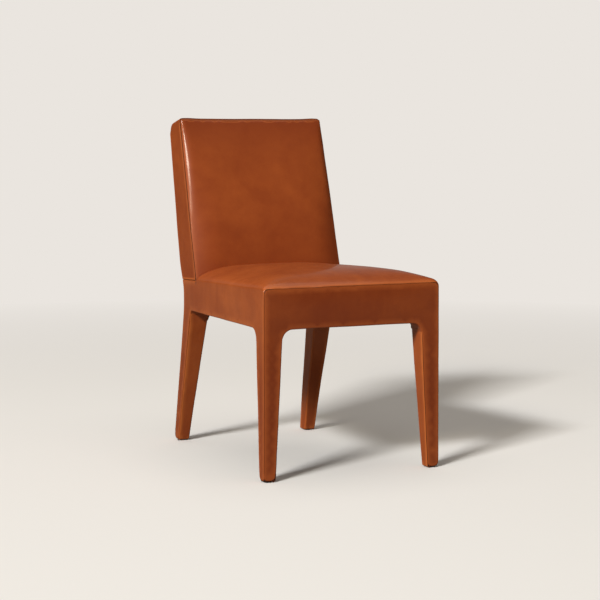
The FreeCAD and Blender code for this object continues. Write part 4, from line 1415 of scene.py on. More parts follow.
@dataclass
class BackBoxing:
    """Band of leather up one side of the back, over the top and down the other side.

    Attributes:
        shape: Main lines of the chair.
        cushion: The front of the back, whose edge the band meets.
        edge_radius: Radius between the top and the sides.
        edge_end: Distance before the rear seam over which that radius runs out.
        rear_radius: Radius between the top and the rear.
        blend: Height over which a side takes up the band's rounded end.
    """

    shape: ChairShape
    cushion: BackCushion
    edge_radius: float = 0.008
    edge_end: float = 0.016
    rear_radius: float = 0.024
    blend: float = 0.050

    def __post_init__(self) -> None:
        """Lay out the side view of the band's top, from the front seam to the rear one."""
        shape = self.shape
        front = (shape.seat_depth + shape.back_lean, shape.back_top)
        rear = (shape.back_reach, shape.top_line(shape.back_reach))
        foot = (shape.rear(shape.panel_top), shape.panel_top)
        start, end, arc = rounded(front, rear, foot, self.rear_radius, gusset_hem(True))
        points = [Vector(front), Vector(start)]
        points += [Vector((depth, height)) for depth, height, _ in arc[1:]]
        self.path = points + [Vector(end), Vector(foot)]

    def along(self, distance: float) -> tuple[Vector, Vector]:
        """Place on the side view of the top, by distance, and the direction out of it."""
        left = max(0.0, distance)
        for index, (first, second) in enumerate(zip(self.path, self.path[1:])):
            length = (second - first).length
            if left <= length or index == len(self.path) - 2:
                way = (second - first).normalized()
                return first + way * left, Vector((-way.y, way.x))
            left -= length
        raise ValueError("the band's side view has no length")

    def length(self) -> float:
        """Length of the side view of the top."""
        return sum((second - first).length for first, second in zip(self.path, self.path[1:]))

    def edge_at(self, distance: float) -> float:
        """Radius of the rounding between the top and a side."""
        end = self.length()
        return mix(self.edge_radius, TIGHT_FOLD, ease(end - self.edge_end, end, distance))

    def span(self) -> Span:
        """Stations from the front seam to the rear one."""
        return Span(back_seam(40.0), FLAT_SEAM, even(20))

    def band(self) -> list[list[tuple[Vector, float]]]:
        """Grid of the top with its rounded ends, row by row from the front seam."""
        shape = self.shape
        arcs = even(5)
        rows = []
        columns = [(-1.0, 1 - share) for share in arcs[:-1]]
        columns += [(2 * share - 1, 0.0) for share in even(24)]
        columns += [(1.0, share) for share in arcs[1:]]
        for row, base in enumerate(self.span().stations(self.length())):
            line = []
            for across, bend in columns:
                radius = self.edge_at(base.at)
                half = shape.half(self.along(base.at)[0].x)
                x = across * (half - radius)
                turn = mix(self.cushion.top_turn(x), 90.0, bend)
                station = self.span().stations(self.length(), back_seam(turn))[row]
                spot, out = self.along(station.at)
                angle = math.pi / 2 * bend
                outward = Vector((math.copysign(math.sin(angle), across),
                                  out.x * math.cos(angle), out.y * math.cos(angle)))
                sunk = radius * (1 - math.cos(angle))
                point = Vector((x + radius * outward.x, shape.y(spot.x - out.x * sunk),
                                spot.y - out.y * sunk))
                line.append((point - outward * station.inward, station.nearness))
            rows.append(line)
        return rows

    def side(self, sign: int, top: list[tuple[Vector, float]]) -> list[list[tuple[Vector, float]]]:
        """Grid of one side, from the band's rounded end down to the seat's side.

        Args:
            sign: -1 on the left, 1 on the right.
            top: The last points of the band on this side, from the front to the rear.

        Returns:
            The rows, from the top down.
        """
        shape = self.shape
        face = shape.side_face(sign)
        front_top = top[EDGE_ROWS - 1][0].z
        low_front, low_rear = shape.seam(shape.seat_depth) + shape.seam_wall, shape.panel_foot
        reach = front_top - low_front
        near_top = [0.0, 0.005, 0.011, 0.018, 0.027, 0.039, 0.054]
        rest = [mix(0.070, reach - 0.006, index / 22) for index in range(23)]
        drops = [(drop, 0.0, 0.0) for drop in near_top + rest]
        drops += [(reach - along, inward, FLAT_SEAM.nearness(row))
                  for row, (along, inward) in enumerate(FLAT_SEAM.rows())]
        rows = []
        start_line: list[Vector] = []
        for drop, inward, near in drops:
            share = drop / reach
            front_height = mix(front_top, low_front, share)
            rear_height = mix(shape.panel_top, low_rear, share)
            front = Vector((shape.back_front(front_height), front_height))
            rear = Vector((shape.rear(rear_height), rear_height))
            turn = self.cushion.side_turn(front_height)
            stations = self.span().stations((rear - front).length, back_seam(turn), SIDE_SEAM)
            way = (rear - front).normalized()
            line = []
            for column, station in enumerate(stations):
                spot = front + way * station.at
                if not rows:
                    start_line.append(spot.copy())
                held = 1 - ease(0.0, self.blend, drop)
                target = top[column][0]
                offset = Vector((target.y - shape.front, target.z)) - start_line[column]
                spot += offset * held
                point, outward = face(spot.x, spot.y)
                sunk = station.inward * (1 - held) + inward
                point -= outward * sunk
                point.x += (target.x - face(target.y - shape.front, target.z)[0].x) * held
                line.append((point, max(near, station.nearness)))
            rows.append(line)
        return rows

    def build(self) -> bpy.types.Object:
        """Build the band and both sides as one piece."""
        leather = Sheet(Vector((0.0, self.shape.y(0.62), 0.68)))
        band = self.band()
        leather.grid(band)
        for _, sign in SIDES:
            leather.grid(self.side(sign, [row[-1 if sign > 0 else 0] for row in band]))
        return leather.make("back_boxing_leather")


@dataclass
class LegSleeves:
    """Leather on the two inner faces of every leg, folded at their corner.

    Attributes:
        shape: Main lines of the chair.
        fold: Radius of the fold.
        fold_nearness: Nearness to a seam that the fold stands for.
        top: Height of the upper end.
    """

    shape: ChairShape
    fold: float = 0.0045
    # fold_nearness: Nearness to a seam that the fold stands for, which lightens it like a seam's
    # rolled edge, partly wear and partly painted highlight.
    fold_nearness: float = 0.25
    top: float = 0.3835

    def path(self, at_front: bool, sign: int, height: float) -> list[Vector]:
        """Plan of a sleeve at a height: front or rear corner, fold, and the seam at the side."""
        shape = self.shape
        across, depth = shape.front_leg_at(height) if at_front else shape.back_leg_at(height)
        seam_depth = 0.0 if at_front else shape.rear(height)
        return [Vector((sign * across, seam_depth)), Vector((sign * across, depth)),
                Vector((sign * shape.half(depth), depth))]

    def build(self) -> list[bpy.types.Object]:
        """Build the four sleeves."""
        return [self.sleeve("leg_lining_%s_%s" % (end, side), end == "front", sign)
                for end in ("front", "back") for side, sign in SIDES]

    def sleeve(self, name: str, at_front: bool, sign: int) -> bpy.types.Object:
        """Build one sleeve."""
        shape = self.shape
        upright = Span(FOOT_EDGE, OPEN_EDGE, even(26))
        first_span = Span(SIDE_SEAM, OPEN_EDGE, even(4))
        last_span = Span(OPEN_EDGE, SIDE_SEAM, even(4))
        arc_points = 6
        rows = []
        for station in upright.stations(self.top - FOOT_LINE):
            height = FOOT_LINE + station.at
            start, corner, end = self.path(at_front, sign, height)
            first, second = (corner - start).normalized(), (end - corner).normalized()
            centre = corner - first * self.fold + second * self.fold
            outs = [-second, first]
            row = []
            for spot in first_span.stations((corner - start).length - self.fold):
                row.append((start + first * spot.at, outs[0], spot.inward, spot.nearness))
            for index in range(1, arc_points):
                angle = math.pi / 2 * index / arc_points
                out = outs[0] * math.cos(angle) + outs[1] * math.sin(angle)
                # The fold takes the lighter colour of a rolled edge: partly wear, partly painted
                # highlight.
                row.append((centre + out * self.fold, out, 0.0, self.fold_nearness))
            for spot in last_span.stations((end - corner).length - self.fold):
                row.append((corner + second * (self.fold + spot.at), outs[1], spot.inward,
                            spot.nearness))
            line = []
            for plan, out, inward, near in row:
                sunk = plan - out * (inward + station.inward)
                line.append((Vector((sunk.x, shape.y(sunk.y), height)),
                             max(near, station.nearness)))
            rows.append(line)
        start, _, end = self.path(at_front, sign, self.top / 2)
        middle = (start + end) / 2
        leather = Sheet(Vector((middle.x, shape.y(middle.y), self.top / 2)))
        leather.grid(rows)
        return leather.make(name)


@dataclass
class RearPadding:
    """Wadding between the back posts and the outside of the back.

    Attributes:
        shape: Main lines of the chair.
        levels: Height of the lower and upper ends.
        post_rear: Depth of the posts' rear faces at those heights.
    """

    shape: ChairShape
    levels: Row = (0.449, 0.867)
    post_rear: Row = (0.6065, 0.7045)

    def build(self) -> bpy.types.Object:
        """Build the pad, which follows the outside of the back."""
        shape = self.shape
        pad = Sheet(Vector((0.0, shape.y(0.65), 0.66)))
        loops = []
        for share in even(28):
            height, near = mix(*self.levels, share), mix(*self.post_rear, share)
            far = shape.rear(height) - PAD_INSET
            loop = []
            for depth in (near, far):
                half = shape.half(depth) - PAD_INSET
                line = [mix(-half, half, part) for part in even(10)]
                for across in (line if depth == near else reversed(line)):
                    loop.append(pad.add(Vector((across, shape.y(depth), height))))
            loops.append(loop)
        pad.close(loops)
        return pad.make("back_wadding", thickness=0.0, divisions=0)


@dataclass
class DustCover:
    """Woven cloth stapled under the seat, cut back round the legs.

    Attributes:
        shape: Main lines of the chair.
        level: Height of the cloth at its staples.
        thickness: Thickness of the cloth.
        sag: How far it sags in the middle.
        sag_reach: Distance from its edge at which the full sag is reached.
        ripple: Height of its unevenness.
        margin: Distance of its edge from the front and the sides of the chair.
        rear_edge: Depth of its rear edge.
    """

    shape: ChairShape
    level: float = 0.3838
    thickness: float = 0.0006
    sag: float = 0.0030
    sag_reach: float = 0.16
    ripple: float = 0.0009
    margin: float = 0.012
    rear_edge: float = 0.596

    def outline(self) -> list[Row]:
        """Cloth's corners, across and by depth, anticlockwise."""
        right = [(0.1774, 0.0117), (0.1923, 0.0628), (0.2339, 0.0777), (0.2087, 0.5323),
                 (0.1586, 0.5472), (0.1437, 0.5963)]
        left = [(-across, depth) for across, depth in reversed(right)]
        return right + left

    def place(self, across: float, depth: float) -> tuple[Vector, Vector]:
        """Point on the cloth, which sags a little between its staples."""
        side = self.shape.half(depth) - self.margin - abs(across)
        inward = ease(0.0, self.sag_reach, min(depth - self.margin, self.rear_edge - depth, side))
        ripple = self.ripple * noise.noise(Vector((across * 14.0, depth * 9.0, 4.0)))
        height = self.level - (self.sag + ripple) * inward
        return Vector((across, self.shape.y(depth), height)), Vector((0.0, 0.0, -1.0))

    def build(self) -> tuple[bpy.types.Object, float, Row]:
        """Build the cloth.

        Returns:
            The piece, its area, and its width and length.
        """
        outline = self.outline()
        corners = [Vector(corner[:2]) for first, second in zip(outline, outline[1:] + outline[:1])
                   for corner in straight(first, second, OPEN_EDGE, 0.02)]
        spots, triangles = fill(corners, 0.022)
        cloth = Sheet(Vector((0.0, self.shape.y(0.3), 0.9)))
        numbers = [cloth.add(self.place(spot.x, spot.y)[0]) for spot in spots]
        cloth.patch([tuple(numbers[index] for index in triangle) for triangle in triangles])
        size = sum(area([cloth.points[index] for index in face]) for face in cloth.faces)
        width, length = (max(line) - min(line) for line in zip(*spots))
        return cloth.make("dust_cloth", self.thickness, 1, uneven=False), size, (width, length)


# Finishes


Number = Union["Signal", float]


class Signal:
    """One output of a shader node, which can be used in arithmetic."""

    def __init__(self, graph: "Graph", socket: bpy.types.NodeSocket) -> None:
        """Wrap a socket of a graph."""
        self.graph = graph
        self.socket = socket

    def _math(self, operation: str, first: Number, second: Number) -> "Signal":
        """Add one Math node."""
        return self.graph.node("ShaderNodeMath", {"operation": operation}, {0: first, 1: second})

    def __add__(self, other: Number) -> "Signal":
        """Add."""
        return self._math("ADD", self, other)

    __radd__ = __add__

    def __sub__(self, other: Number) -> "Signal":
        """Subtract."""
        return self._math("SUBTRACT", self, other)

    def __rsub__(self, other: Number) -> "Signal":
        """Subtract from a number."""
        return self._math("SUBTRACT", other, self)

    def __mul__(self, other: Number) -> "Signal":
        """Multiply."""
        return self._math("MULTIPLY", self, other)

    __rmul__ = __mul__

    def __truediv__(self, other: Number) -> "Signal":
        """Divide."""
        return self._math("DIVIDE", self, other)

    def sine(self) -> "Signal":
        """Sine of an angle in radians."""
        return self.graph.node("ShaderNodeMath", {"operation": "SINE"}, {0: self})

    def clipped(self, low: float, high: float) -> "Signal":
        """Spread the range from low to high over 0 to 1, and cut off what lies outside."""
        return self.graph.node("ShaderNodeMapRange", {"clamp": True},
                               {"Value": self, "From Min": low, "From Max": high})


class Graph:
    """Shader nodes of one material, or of the world."""

    def __init__(self, owner: Union[bpy.types.Material, bpy.types.World]) -> None:
        """Empty the owner's nodes and start again."""
        owner.use_nodes = True
        self.owner = owner
        self.tree = owner.node_tree
        self.tree.nodes.clear()

    @classmethod
    def material(cls, name: str) -> "Graph":
        """Start a new material."""
        return cls(bpy.data.materials.new(name))

    def node(self, kind: str, settings: dict, inputs: dict, output: Union[int, str] = 0) -> Signal:
        """Add one node.

        Args:
            kind: Type of the node.
            settings: Its settings.
            inputs: Values or signals of its sockets, by name or number.
            output: The output to return.

        Returns:
            The chosen output.
        """
        made = self.tree.nodes.new(kind)
        for key, value in settings.items():
            setattr(made, key, value)
        for key, value in inputs.items():
            if isinstance(value, Signal):
                self.tree.links.new(value.socket, made.inputs[key])
            else:
                made.inputs[key].default_value = value
        return Signal(self, made.outputs[output])

    def place(self) -> Signal:
        """Position on the piece, in metres."""
        return self.node("ShaderNodeTexCoord", {}, {}, "Object")

    def along(self, axis: str) -> Signal:
        """Position on the piece along one axis."""
        return self.node("ShaderNodeSeparateXYZ", {}, {"Vector": self.place()}, axis)

    def stretched(self, scale: Triple) -> Signal:
        """Position on the piece, scaled along each axis."""
        return self.node("ShaderNodeVectorMath", {"operation": "MULTIPLY"},
                         {0: self.place(), 1: scale})

    def noise(self, scale: float, detail: float = 3.0, roughness: float = 0.5,
              vector: Union[Signal, None] = None, distortion: float = 0.0) -> Signal:
        """Cloudy noise around one half."""
        return self.node("ShaderNodeTexNoise", {},
                         {"Vector": vector or self.place(), "Scale": scale, "Detail": detail,
                          "Roughness": roughness, "Distortion": distortion}, "Fac")

    def cells(self, scale: float, feature: str = "F1") -> Signal:
        """Distance to the nearest cell's middle, or to the nearest border between cells."""
        return self.node("ShaderNodeTexVoronoi", {"feature": feature},
                         {"Vector": self.place(), "Scale": scale}, "Distance")

    def mixed(self, share: Number, first: Union[Signal, Colour],
              second: Union[Signal, Colour]) -> Signal:
        """Mix two colours by a share."""
        colours = [part if isinstance(part, Signal) else (*part, 1.0) for part in (first, second)]
        return self.node("ShaderNodeMix", {"data_type": "RGBA"},
                         {0: share, 6: colours[0], 7: colours[1]}, 2)

    def bump(self, height: Signal, distance: float, strength: float,
             normal: Union[Signal, None] = None) -> Signal:
        """Turn a height into a bumped normal."""
        inputs = {"Height": height, "Distance": distance, "Strength": strength}
        if normal:
            inputs["Normal"] = normal
        return self.node("ShaderNodeBump", {}, inputs)

    def attribute(self, name: str) -> Signal:
        """A number stored on the mesh."""
        return self.node("ShaderNodeAttribute", {"attribute_name": name}, {}, "Fac")

    def seen(self, mirrored: Number = 1.0) -> Signal:
        """1 for what the camera sees straight or through glass; a share of it in reflections."""
        paths = [self.node("ShaderNodeLightPath", {}, {}, name)
                 for name in ("Is Camera Ray", "Is Glossy Ray", "Is Transmission Ray")]
        return (paths[0] + paths[1] * mirrored + paths[2]).clipped(0.0, 1.0)

    def shader_mix(self, share: Signal, first: Signal, second: Signal) -> Signal:
        """Mix two shaders by a share."""
        return self.node("ShaderNodeMixShader", {}, {0: share, 1: first, 2: second})

    def finish(self, inputs: dict) -> bpy.types.Material:
        """Close the material with its main shader."""
        return self.close(self.node("ShaderNodeBsdfPrincipled", {}, inputs))

    def close(self, shader: Signal) -> Union[bpy.types.Material, bpy.types.World]:
        """Link a shader to the output and return what the nodes belong to."""
        kind = "World" if isinstance(self.owner, bpy.types.World) else "Material"
        output = self.tree.nodes.new("ShaderNodeOutput" + kind)
        self.tree.links.new(shader.socket, output.inputs["Surface"])
        return self.owner


@dataclass(frozen=True)
class Leather:
    """Semi-gloss saddle leather with fine pores, soft clouds and faint streaks; its rolled seam
    edges are lighter, partly wear and partly painted highlight, with painted shade in the creases
    and by height.

    Attributes:
        body: Main colour.
        deep: Darker clouds, and the colour that the painted shade by height runs to.
        warm: Lighter, warmer clouds.
        worn_and_lit: Colour of the rolled edges beside the seams, partly wear and partly a painted
            highlight.
        crease: Painted shade deep in a seam's crease.
        tone: Depth of this panel's colour, 1 for the main one; partly dye and partly painted shade
            and light for how the panel faces the lamps.
        streaks: Strength of the faint upright streaks.
        wear_and_highlight: How strongly the rolled edges are lightened, by wear and by painted
            highlight.
        dye_and_shade_by_height: Height that stays clear, distance at which the colour is darkest,
            and how dark; partly dye, partly painted shade low on the legs and aprons and at the
            back's foot by the seat.
        gloss: Roughness of the surface.
        polish: Weight of the polished top coat.
    """

    body: Colour = (0.330, 0.068, 0.0130)
    deep: Colour = (0.225, 0.038, 0.0070)
    warm: Colour = (0.430, 0.104, 0.020)
    worn_and_lit: Colour = (0.560, 0.150, 0.034)
    crease: Colour = (0.065, 0.015, 0.005)
    tone: float = 1.0
    streaks: float = 0.25
    wear_and_highlight: float = 1.0
    dye_and_shade_by_height: Triple = (0.44, 0.34, 0.75)
    gloss: float = 0.46
    polish: float = 0.48

    def toned(self, colour: Colour) -> Colour:
        """Colour at the panel's tone, partly dye and partly painted shade and light; a deeper tone
        is also redder.
        """
        red, green, blue = colour
        return red * self.tone, green * self.tone**1.4, blue * self.tone**1.5

    def material(self, name: str) -> bpy.types.Material:
        """Build the material."""
        graph = Graph.material(name)
        body, deep, warm = self.toned(self.body), self.toned(self.deep), self.toned(self.warm)
        cloud = graph.noise(6.0, 4.0, 0.55, distortion=0.5)
        patch = graph.noise(27.0, 4.0, 0.6)
        speck = graph.noise(240.0, 2.0, 0.6)
        streak = graph.noise(1.0, 4.0, 0.65, graph.stretched((60.0, 60.0, 4.0)))
        tone = graph.mixed(cloud.clipped(0.34, 0.68), deep, warm)
        tone = graph.mixed(0.60, tone, body)
        tone = graph.mixed(patch.clipped(0.38, 0.72) * 0.30, tone, deep)
        tone = graph.mixed(streak.clipped(0.45, 0.78) * self.streaks, tone, warm)
        tone = graph.mixed(speck.clipped(0.45, 0.8) * 0.14, tone, deep)
        # Darker away from a clear height: partly dye, partly painted shade low on the legs and
        # aprons and at the back's foot by the seat.
        clear, reach, depth = self.dye_and_shade_by_height
        away = (graph.along("Z") - clear) / reach
        tone = graph.mixed((away * away).clipped(0.02, 1.1) * depth, tone, deep)
        near = graph.attribute("seam_nearness")
        # Lighter rolled edges beside the seams: partly wear, partly a painted highlight where the
        # rolls catch the light.
        edge_wear_and_highlight = near.clipped(0.10, 0.42) * (0.36 + cloud * 0.55) * self.wear_and_highlight
        tone = graph.mixed(edge_wear_and_highlight, tone, self.toned(self.worn_and_lit))
        # Painted shade deep in the seams' creases.
        tone = graph.mixed(near.clipped(0.62, 0.90), tone, self.crease)
        pores = graph.cells(1150.0)
        grain = graph.cells(520.0, "DISTANCE_TO_EDGE")
        wrinkles = graph.noise(150.0, 3.0, 0.6)
        height = pores.clipped(0.0, 0.9) * 0.35 + grain.clipped(0.0, 0.25) * 0.5 + wrinkles * 0.4
        fine = graph.bump(height, 0.00018, 0.35)
        broad = graph.bump(graph.noise(24.0, 2.0, 0.5), 0.0009, 0.35, fine)
        rough = self.gloss + patch * 0.08 + speck * 0.05 + near.clipped(0.75, 1.0) * 0.25
        coat = (0.75 + patch * 0.5) * self.polish * (1.0 - near.clipped(0.46, 0.66))
        coat = coat * (1.0 - (away * -1.0).clipped(0.20, 1.0) * 0.70 * depth)
        return graph.finish({"Base Color": tone, "Roughness": rough, "Normal": broad,
                             "Specular IOR Level": 0.18, "Coat Weight": coat,
                             "Coat Roughness": 0.14})


@dataclass(frozen=True)
class Beech:
    """Sanded beech: long grain with short dark flecks, darker at the feet.

    Attributes:
        pale: Colour of the wood.
        dark: Colour of the grain and the flecks.
        darkening: Colour of the darkened lower ends.
        dark_foot_levels: Heights between which that darkening runs out.
    """

    pale: Colour = (0.62, 0.43, 0.26)
    dark: Colour = (0.45, 0.28, 0.15)
    darkening: Colour = (0.040, 0.014, 0.008)
    dark_foot_levels: Row = (0.014, 0.018)

    def material(self, name: str) -> bpy.types.Material:
        """Build the material."""
        graph = Graph.material(name)
        grain = graph.noise(1.0, 5.0, 0.6, graph.stretched((90.0, 90.0, 6.0)), 0.6)
        fleck = graph.noise(1.0, 2.0, 0.5, graph.stretched((700.0, 700.0, 60.0)))
        tone = graph.mixed(grain.clipped(0.3, 0.7), self.pale, self.dark)
        tone = graph.mixed(fleck.clipped(0.62, 0.72) * 0.5, tone, self.dark)
        # The wood turns dark at its lower ends, towards the feet.
        tone = graph.mixed(1.0 - graph.along("Z").clipped(*self.dark_foot_levels), tone, self.darkening)
        bump = graph.bump(grain + fleck * 0.4, 0.0003, 0.4)
        return graph.finish({"Base Color": tone, "Roughness": 0.55 + grain * 0.2, "Normal": bump})


@dataclass(frozen=True)
class Foam:
    """Open-cell foam or wadding.

    Attributes:
        tint: Colour between the cells.
        shade: Colour in the cells.
        cell: Cells to a metre.
    """

    tint: Colour = (0.80, 0.74, 0.55)
    shade: Colour = (0.66, 0.58, 0.38)
    cell: float = 900.0

    def material(self, name: str) -> bpy.types.Material:
        """Build the material."""
        graph = Graph.material(name)
        cells = graph.cells(self.cell)
        tone = graph.mixed(cells.clipped(0.2, 0.8), self.shade, self.tint)
        tone = graph.mixed(graph.noise(12.0) * 0.4, tone, self.shade)
        return graph.finish({"Base Color": tone, "Roughness": 0.9 + cells * 0.1,
                             "Normal": graph.bump(cells, 0.0006, 0.6)})


@dataclass(frozen=True)
class WovenCloth:
    """Plain-woven cloth or webbing, seen as crossing threads.

    Attributes:
        thread: Colour of the threads.
        shade: Colour between them.
        count: Threads to a metre.
    """

    thread: Colour
    shade: Colour
    count: float

    def material(self, name: str) -> bpy.types.Material:
        """Build the material."""
        graph = Graph.material(name)
        turn = self.count * math.pi
        warp = (graph.along("X") * turn).sine()
        weft = ((graph.along("Y") + graph.along("Z")) * turn).sine()
        weave = (warp * warp) * 0.5 + (weft * weft) * 0.5
        fuzz = graph.noise(380.0, 3.0, 0.6)
        tone = graph.mixed(weave.clipped(0.15, 0.8), self.shade, self.thread)
        tone = graph.mixed(fuzz.clipped(0.4, 0.8) * 0.4, tone, self.shade)
        return graph.finish({"Base Color": tone, "Roughness": 0.82 + fuzz * 0.15,
                             "Normal": graph.bump(weave + fuzz * 0.5, 0.0003, 0.5)})


@dataclass(frozen=True)
class Steel:
    """Plated steel with faint drawing marks.

    Attributes:
        tint: Colour of the plating.
        roughness: Roughness of the surface.
        stained: Brightness of its stains, over that of the rest.
    """

    tint: Colour = (0.70, 0.69, 0.65)
    roughness: float = 0.28
    stained: float = 0.55

    def material(self, name: str) -> bpy.types.Material:
        """Build the material."""
        graph = Graph.material(name)
        marks = graph.noise(1.0, 3.0, 0.6, graph.stretched((2400.0, 2400.0, 300.0)))
        darkening = graph.noise(120.0, 3.0, 0.6)
        tone = graph.mixed(darkening.clipped(0.45, 0.75) * 0.5, self.tint,
                           tuple(part * self.stained for part in self.tint))
        return graph.finish({"Base Color": tone, "Metallic": 1.0,
                             "Roughness": self.roughness + marks * 0.18,
                             "Normal": graph.bump(marks, 0.00004, 0.4)})


@dataclass(frozen=True)
class GlidePlastic:
    """Dark moulded plastic of the foot glides, scuffed by the floor.

    Attributes:
        tint: Colour of the plastic.
        scuff: Colour of the scuffs.
    """

    tint: Colour = (0.030, 0.019, 0.014)
    scuff: Colour = (0.10, 0.08, 0.07)

    def material(self, name: str) -> bpy.types.Material:
        """Build the material."""
        graph = Graph.material(name)
        scuffs = graph.noise(1.0, 4.0, 0.7, graph.stretched((900.0, 260.0, 900.0)))
        tone = graph.mixed(scuffs.clipped(0.55, 0.75) * 0.6, self.tint, self.scuff)
        return graph.finish({"Base Color": tone, "Roughness": 0.42 + scuffs * 0.3,
                             "Normal": graph.bump(scuffs, 0.0002, 0.4)})


class Panel(Enum):
    """Which part of the hide a leather panel is cut from, which sets its tone: partly dye, partly
    painted shade and light for how the panel faces the lamps.
    """

    SEAT = "seat"  # seat and sides
    FRONT = "front"  # front apron
    BACK = "back"  # front of the back
    BOXING = "boxing"  # band round the back
    REAR = "rear"  # rear apron and outside of the back
    LEGS = "leg"  # inner faces of the legs


@dataclass
class Finishes:
    """All materials of the chair, made once.

    Attributes:
        leather: The leather of every kind of panel.
        frame: What the CAD nodes are dressed in, by their slot in the record.
    """

    leather: dict[Panel, bpy.types.Material] = field(init=False)
    frame: dict[str, bpy.types.Material] = field(init=False)

    def __post_init__(self) -> None:
        """Make the materials."""
        # Each panel's tone and height shading are partly dye and partly painted light and shade for
        # how it faces the lamps: the front apron is darkened, the legs' inner faces are lightened,
        # and lower parts are darkened.
        hides = {
            Panel.SEAT: Leather(deep=(0.198, 0.032, 0.006), tone=1.02, wear_and_highlight=0.5,
                                dye_and_shade_by_height=(0.505, 0.26, 0.80)),
            Panel.FRONT: Leather(tone=0.71, streaks=0.12, wear_and_highlight=0.9, dye_and_shade_by_height=(0.487, 0.17, 0.42)),
            Panel.BACK: Leather(tone=0.88, streaks=0.0, wear_and_highlight=0.5, dye_and_shade_by_height=(0.69, 0.21, 0.85)),
            Panel.BOXING: Leather(tone=0.93, polish=0.25, dye_and_shade_by_height=(0.90, 0.45, 0.45)),
            Panel.REAR: Leather(tone=0.90),
            Panel.LEGS: Leather(tone=1.08, dye_and_shade_by_height=(0.36, 0.36, 0.40)),
        }
        self.leather = {panel: hide.material("%s_leather_finish" % panel.value)
                        for panel, hide in hides.items()}
        self.foam = Foam().material("seat_and_back_foam")
        self.wadding = Foam((0.85, 0.84, 0.80), (0.72, 0.70, 0.66), 500.0).material("wadding")
        self.dust_cloth = WovenCloth((0.030, 0.030, 0.032), (0.010, 0.010, 0.011),
                                     900.0).material("dust_cloth_weave")
        webbing = WovenCloth((0.10, 0.085, 0.07), (0.03, 0.025, 0.02), 420.0)
        dowel = Beech((0.70, 0.52, 0.34), (0.52, 0.35, 0.20))
        self.frame = {
            "webbing": webbing.material("webbing_weave"),
            "frame_wood": Beech().material("beech"),
            "dowel_wood": dowel.material("dowel_beech"),
            "glide_plastic": GlidePlastic().material("glide_plastic"),
            "screw_steel": Steel((0.72, 0.69, 0.58), 0.30).material("screw_plating"),
            "nail_steel": Steel().material("nail_steel"),
            "staple_steel": Steel((0.66, 0.66, 0.67), 0.35).material("staple_steel"),
        }

    def dress_nodes(self, frame: dict) -> None:
        """Give every CAD node that stays its material, by its slot in the record."""
        slots = {part["node"]: part["material_slot"] for part in frame["record"]["subparts"]}
        for name, node in frame["nodes"].items():
            material = self.frame.get(slots.get(name, ""))
            if material:
                for place in node.material_slots:
                    place.material = material


# Studio


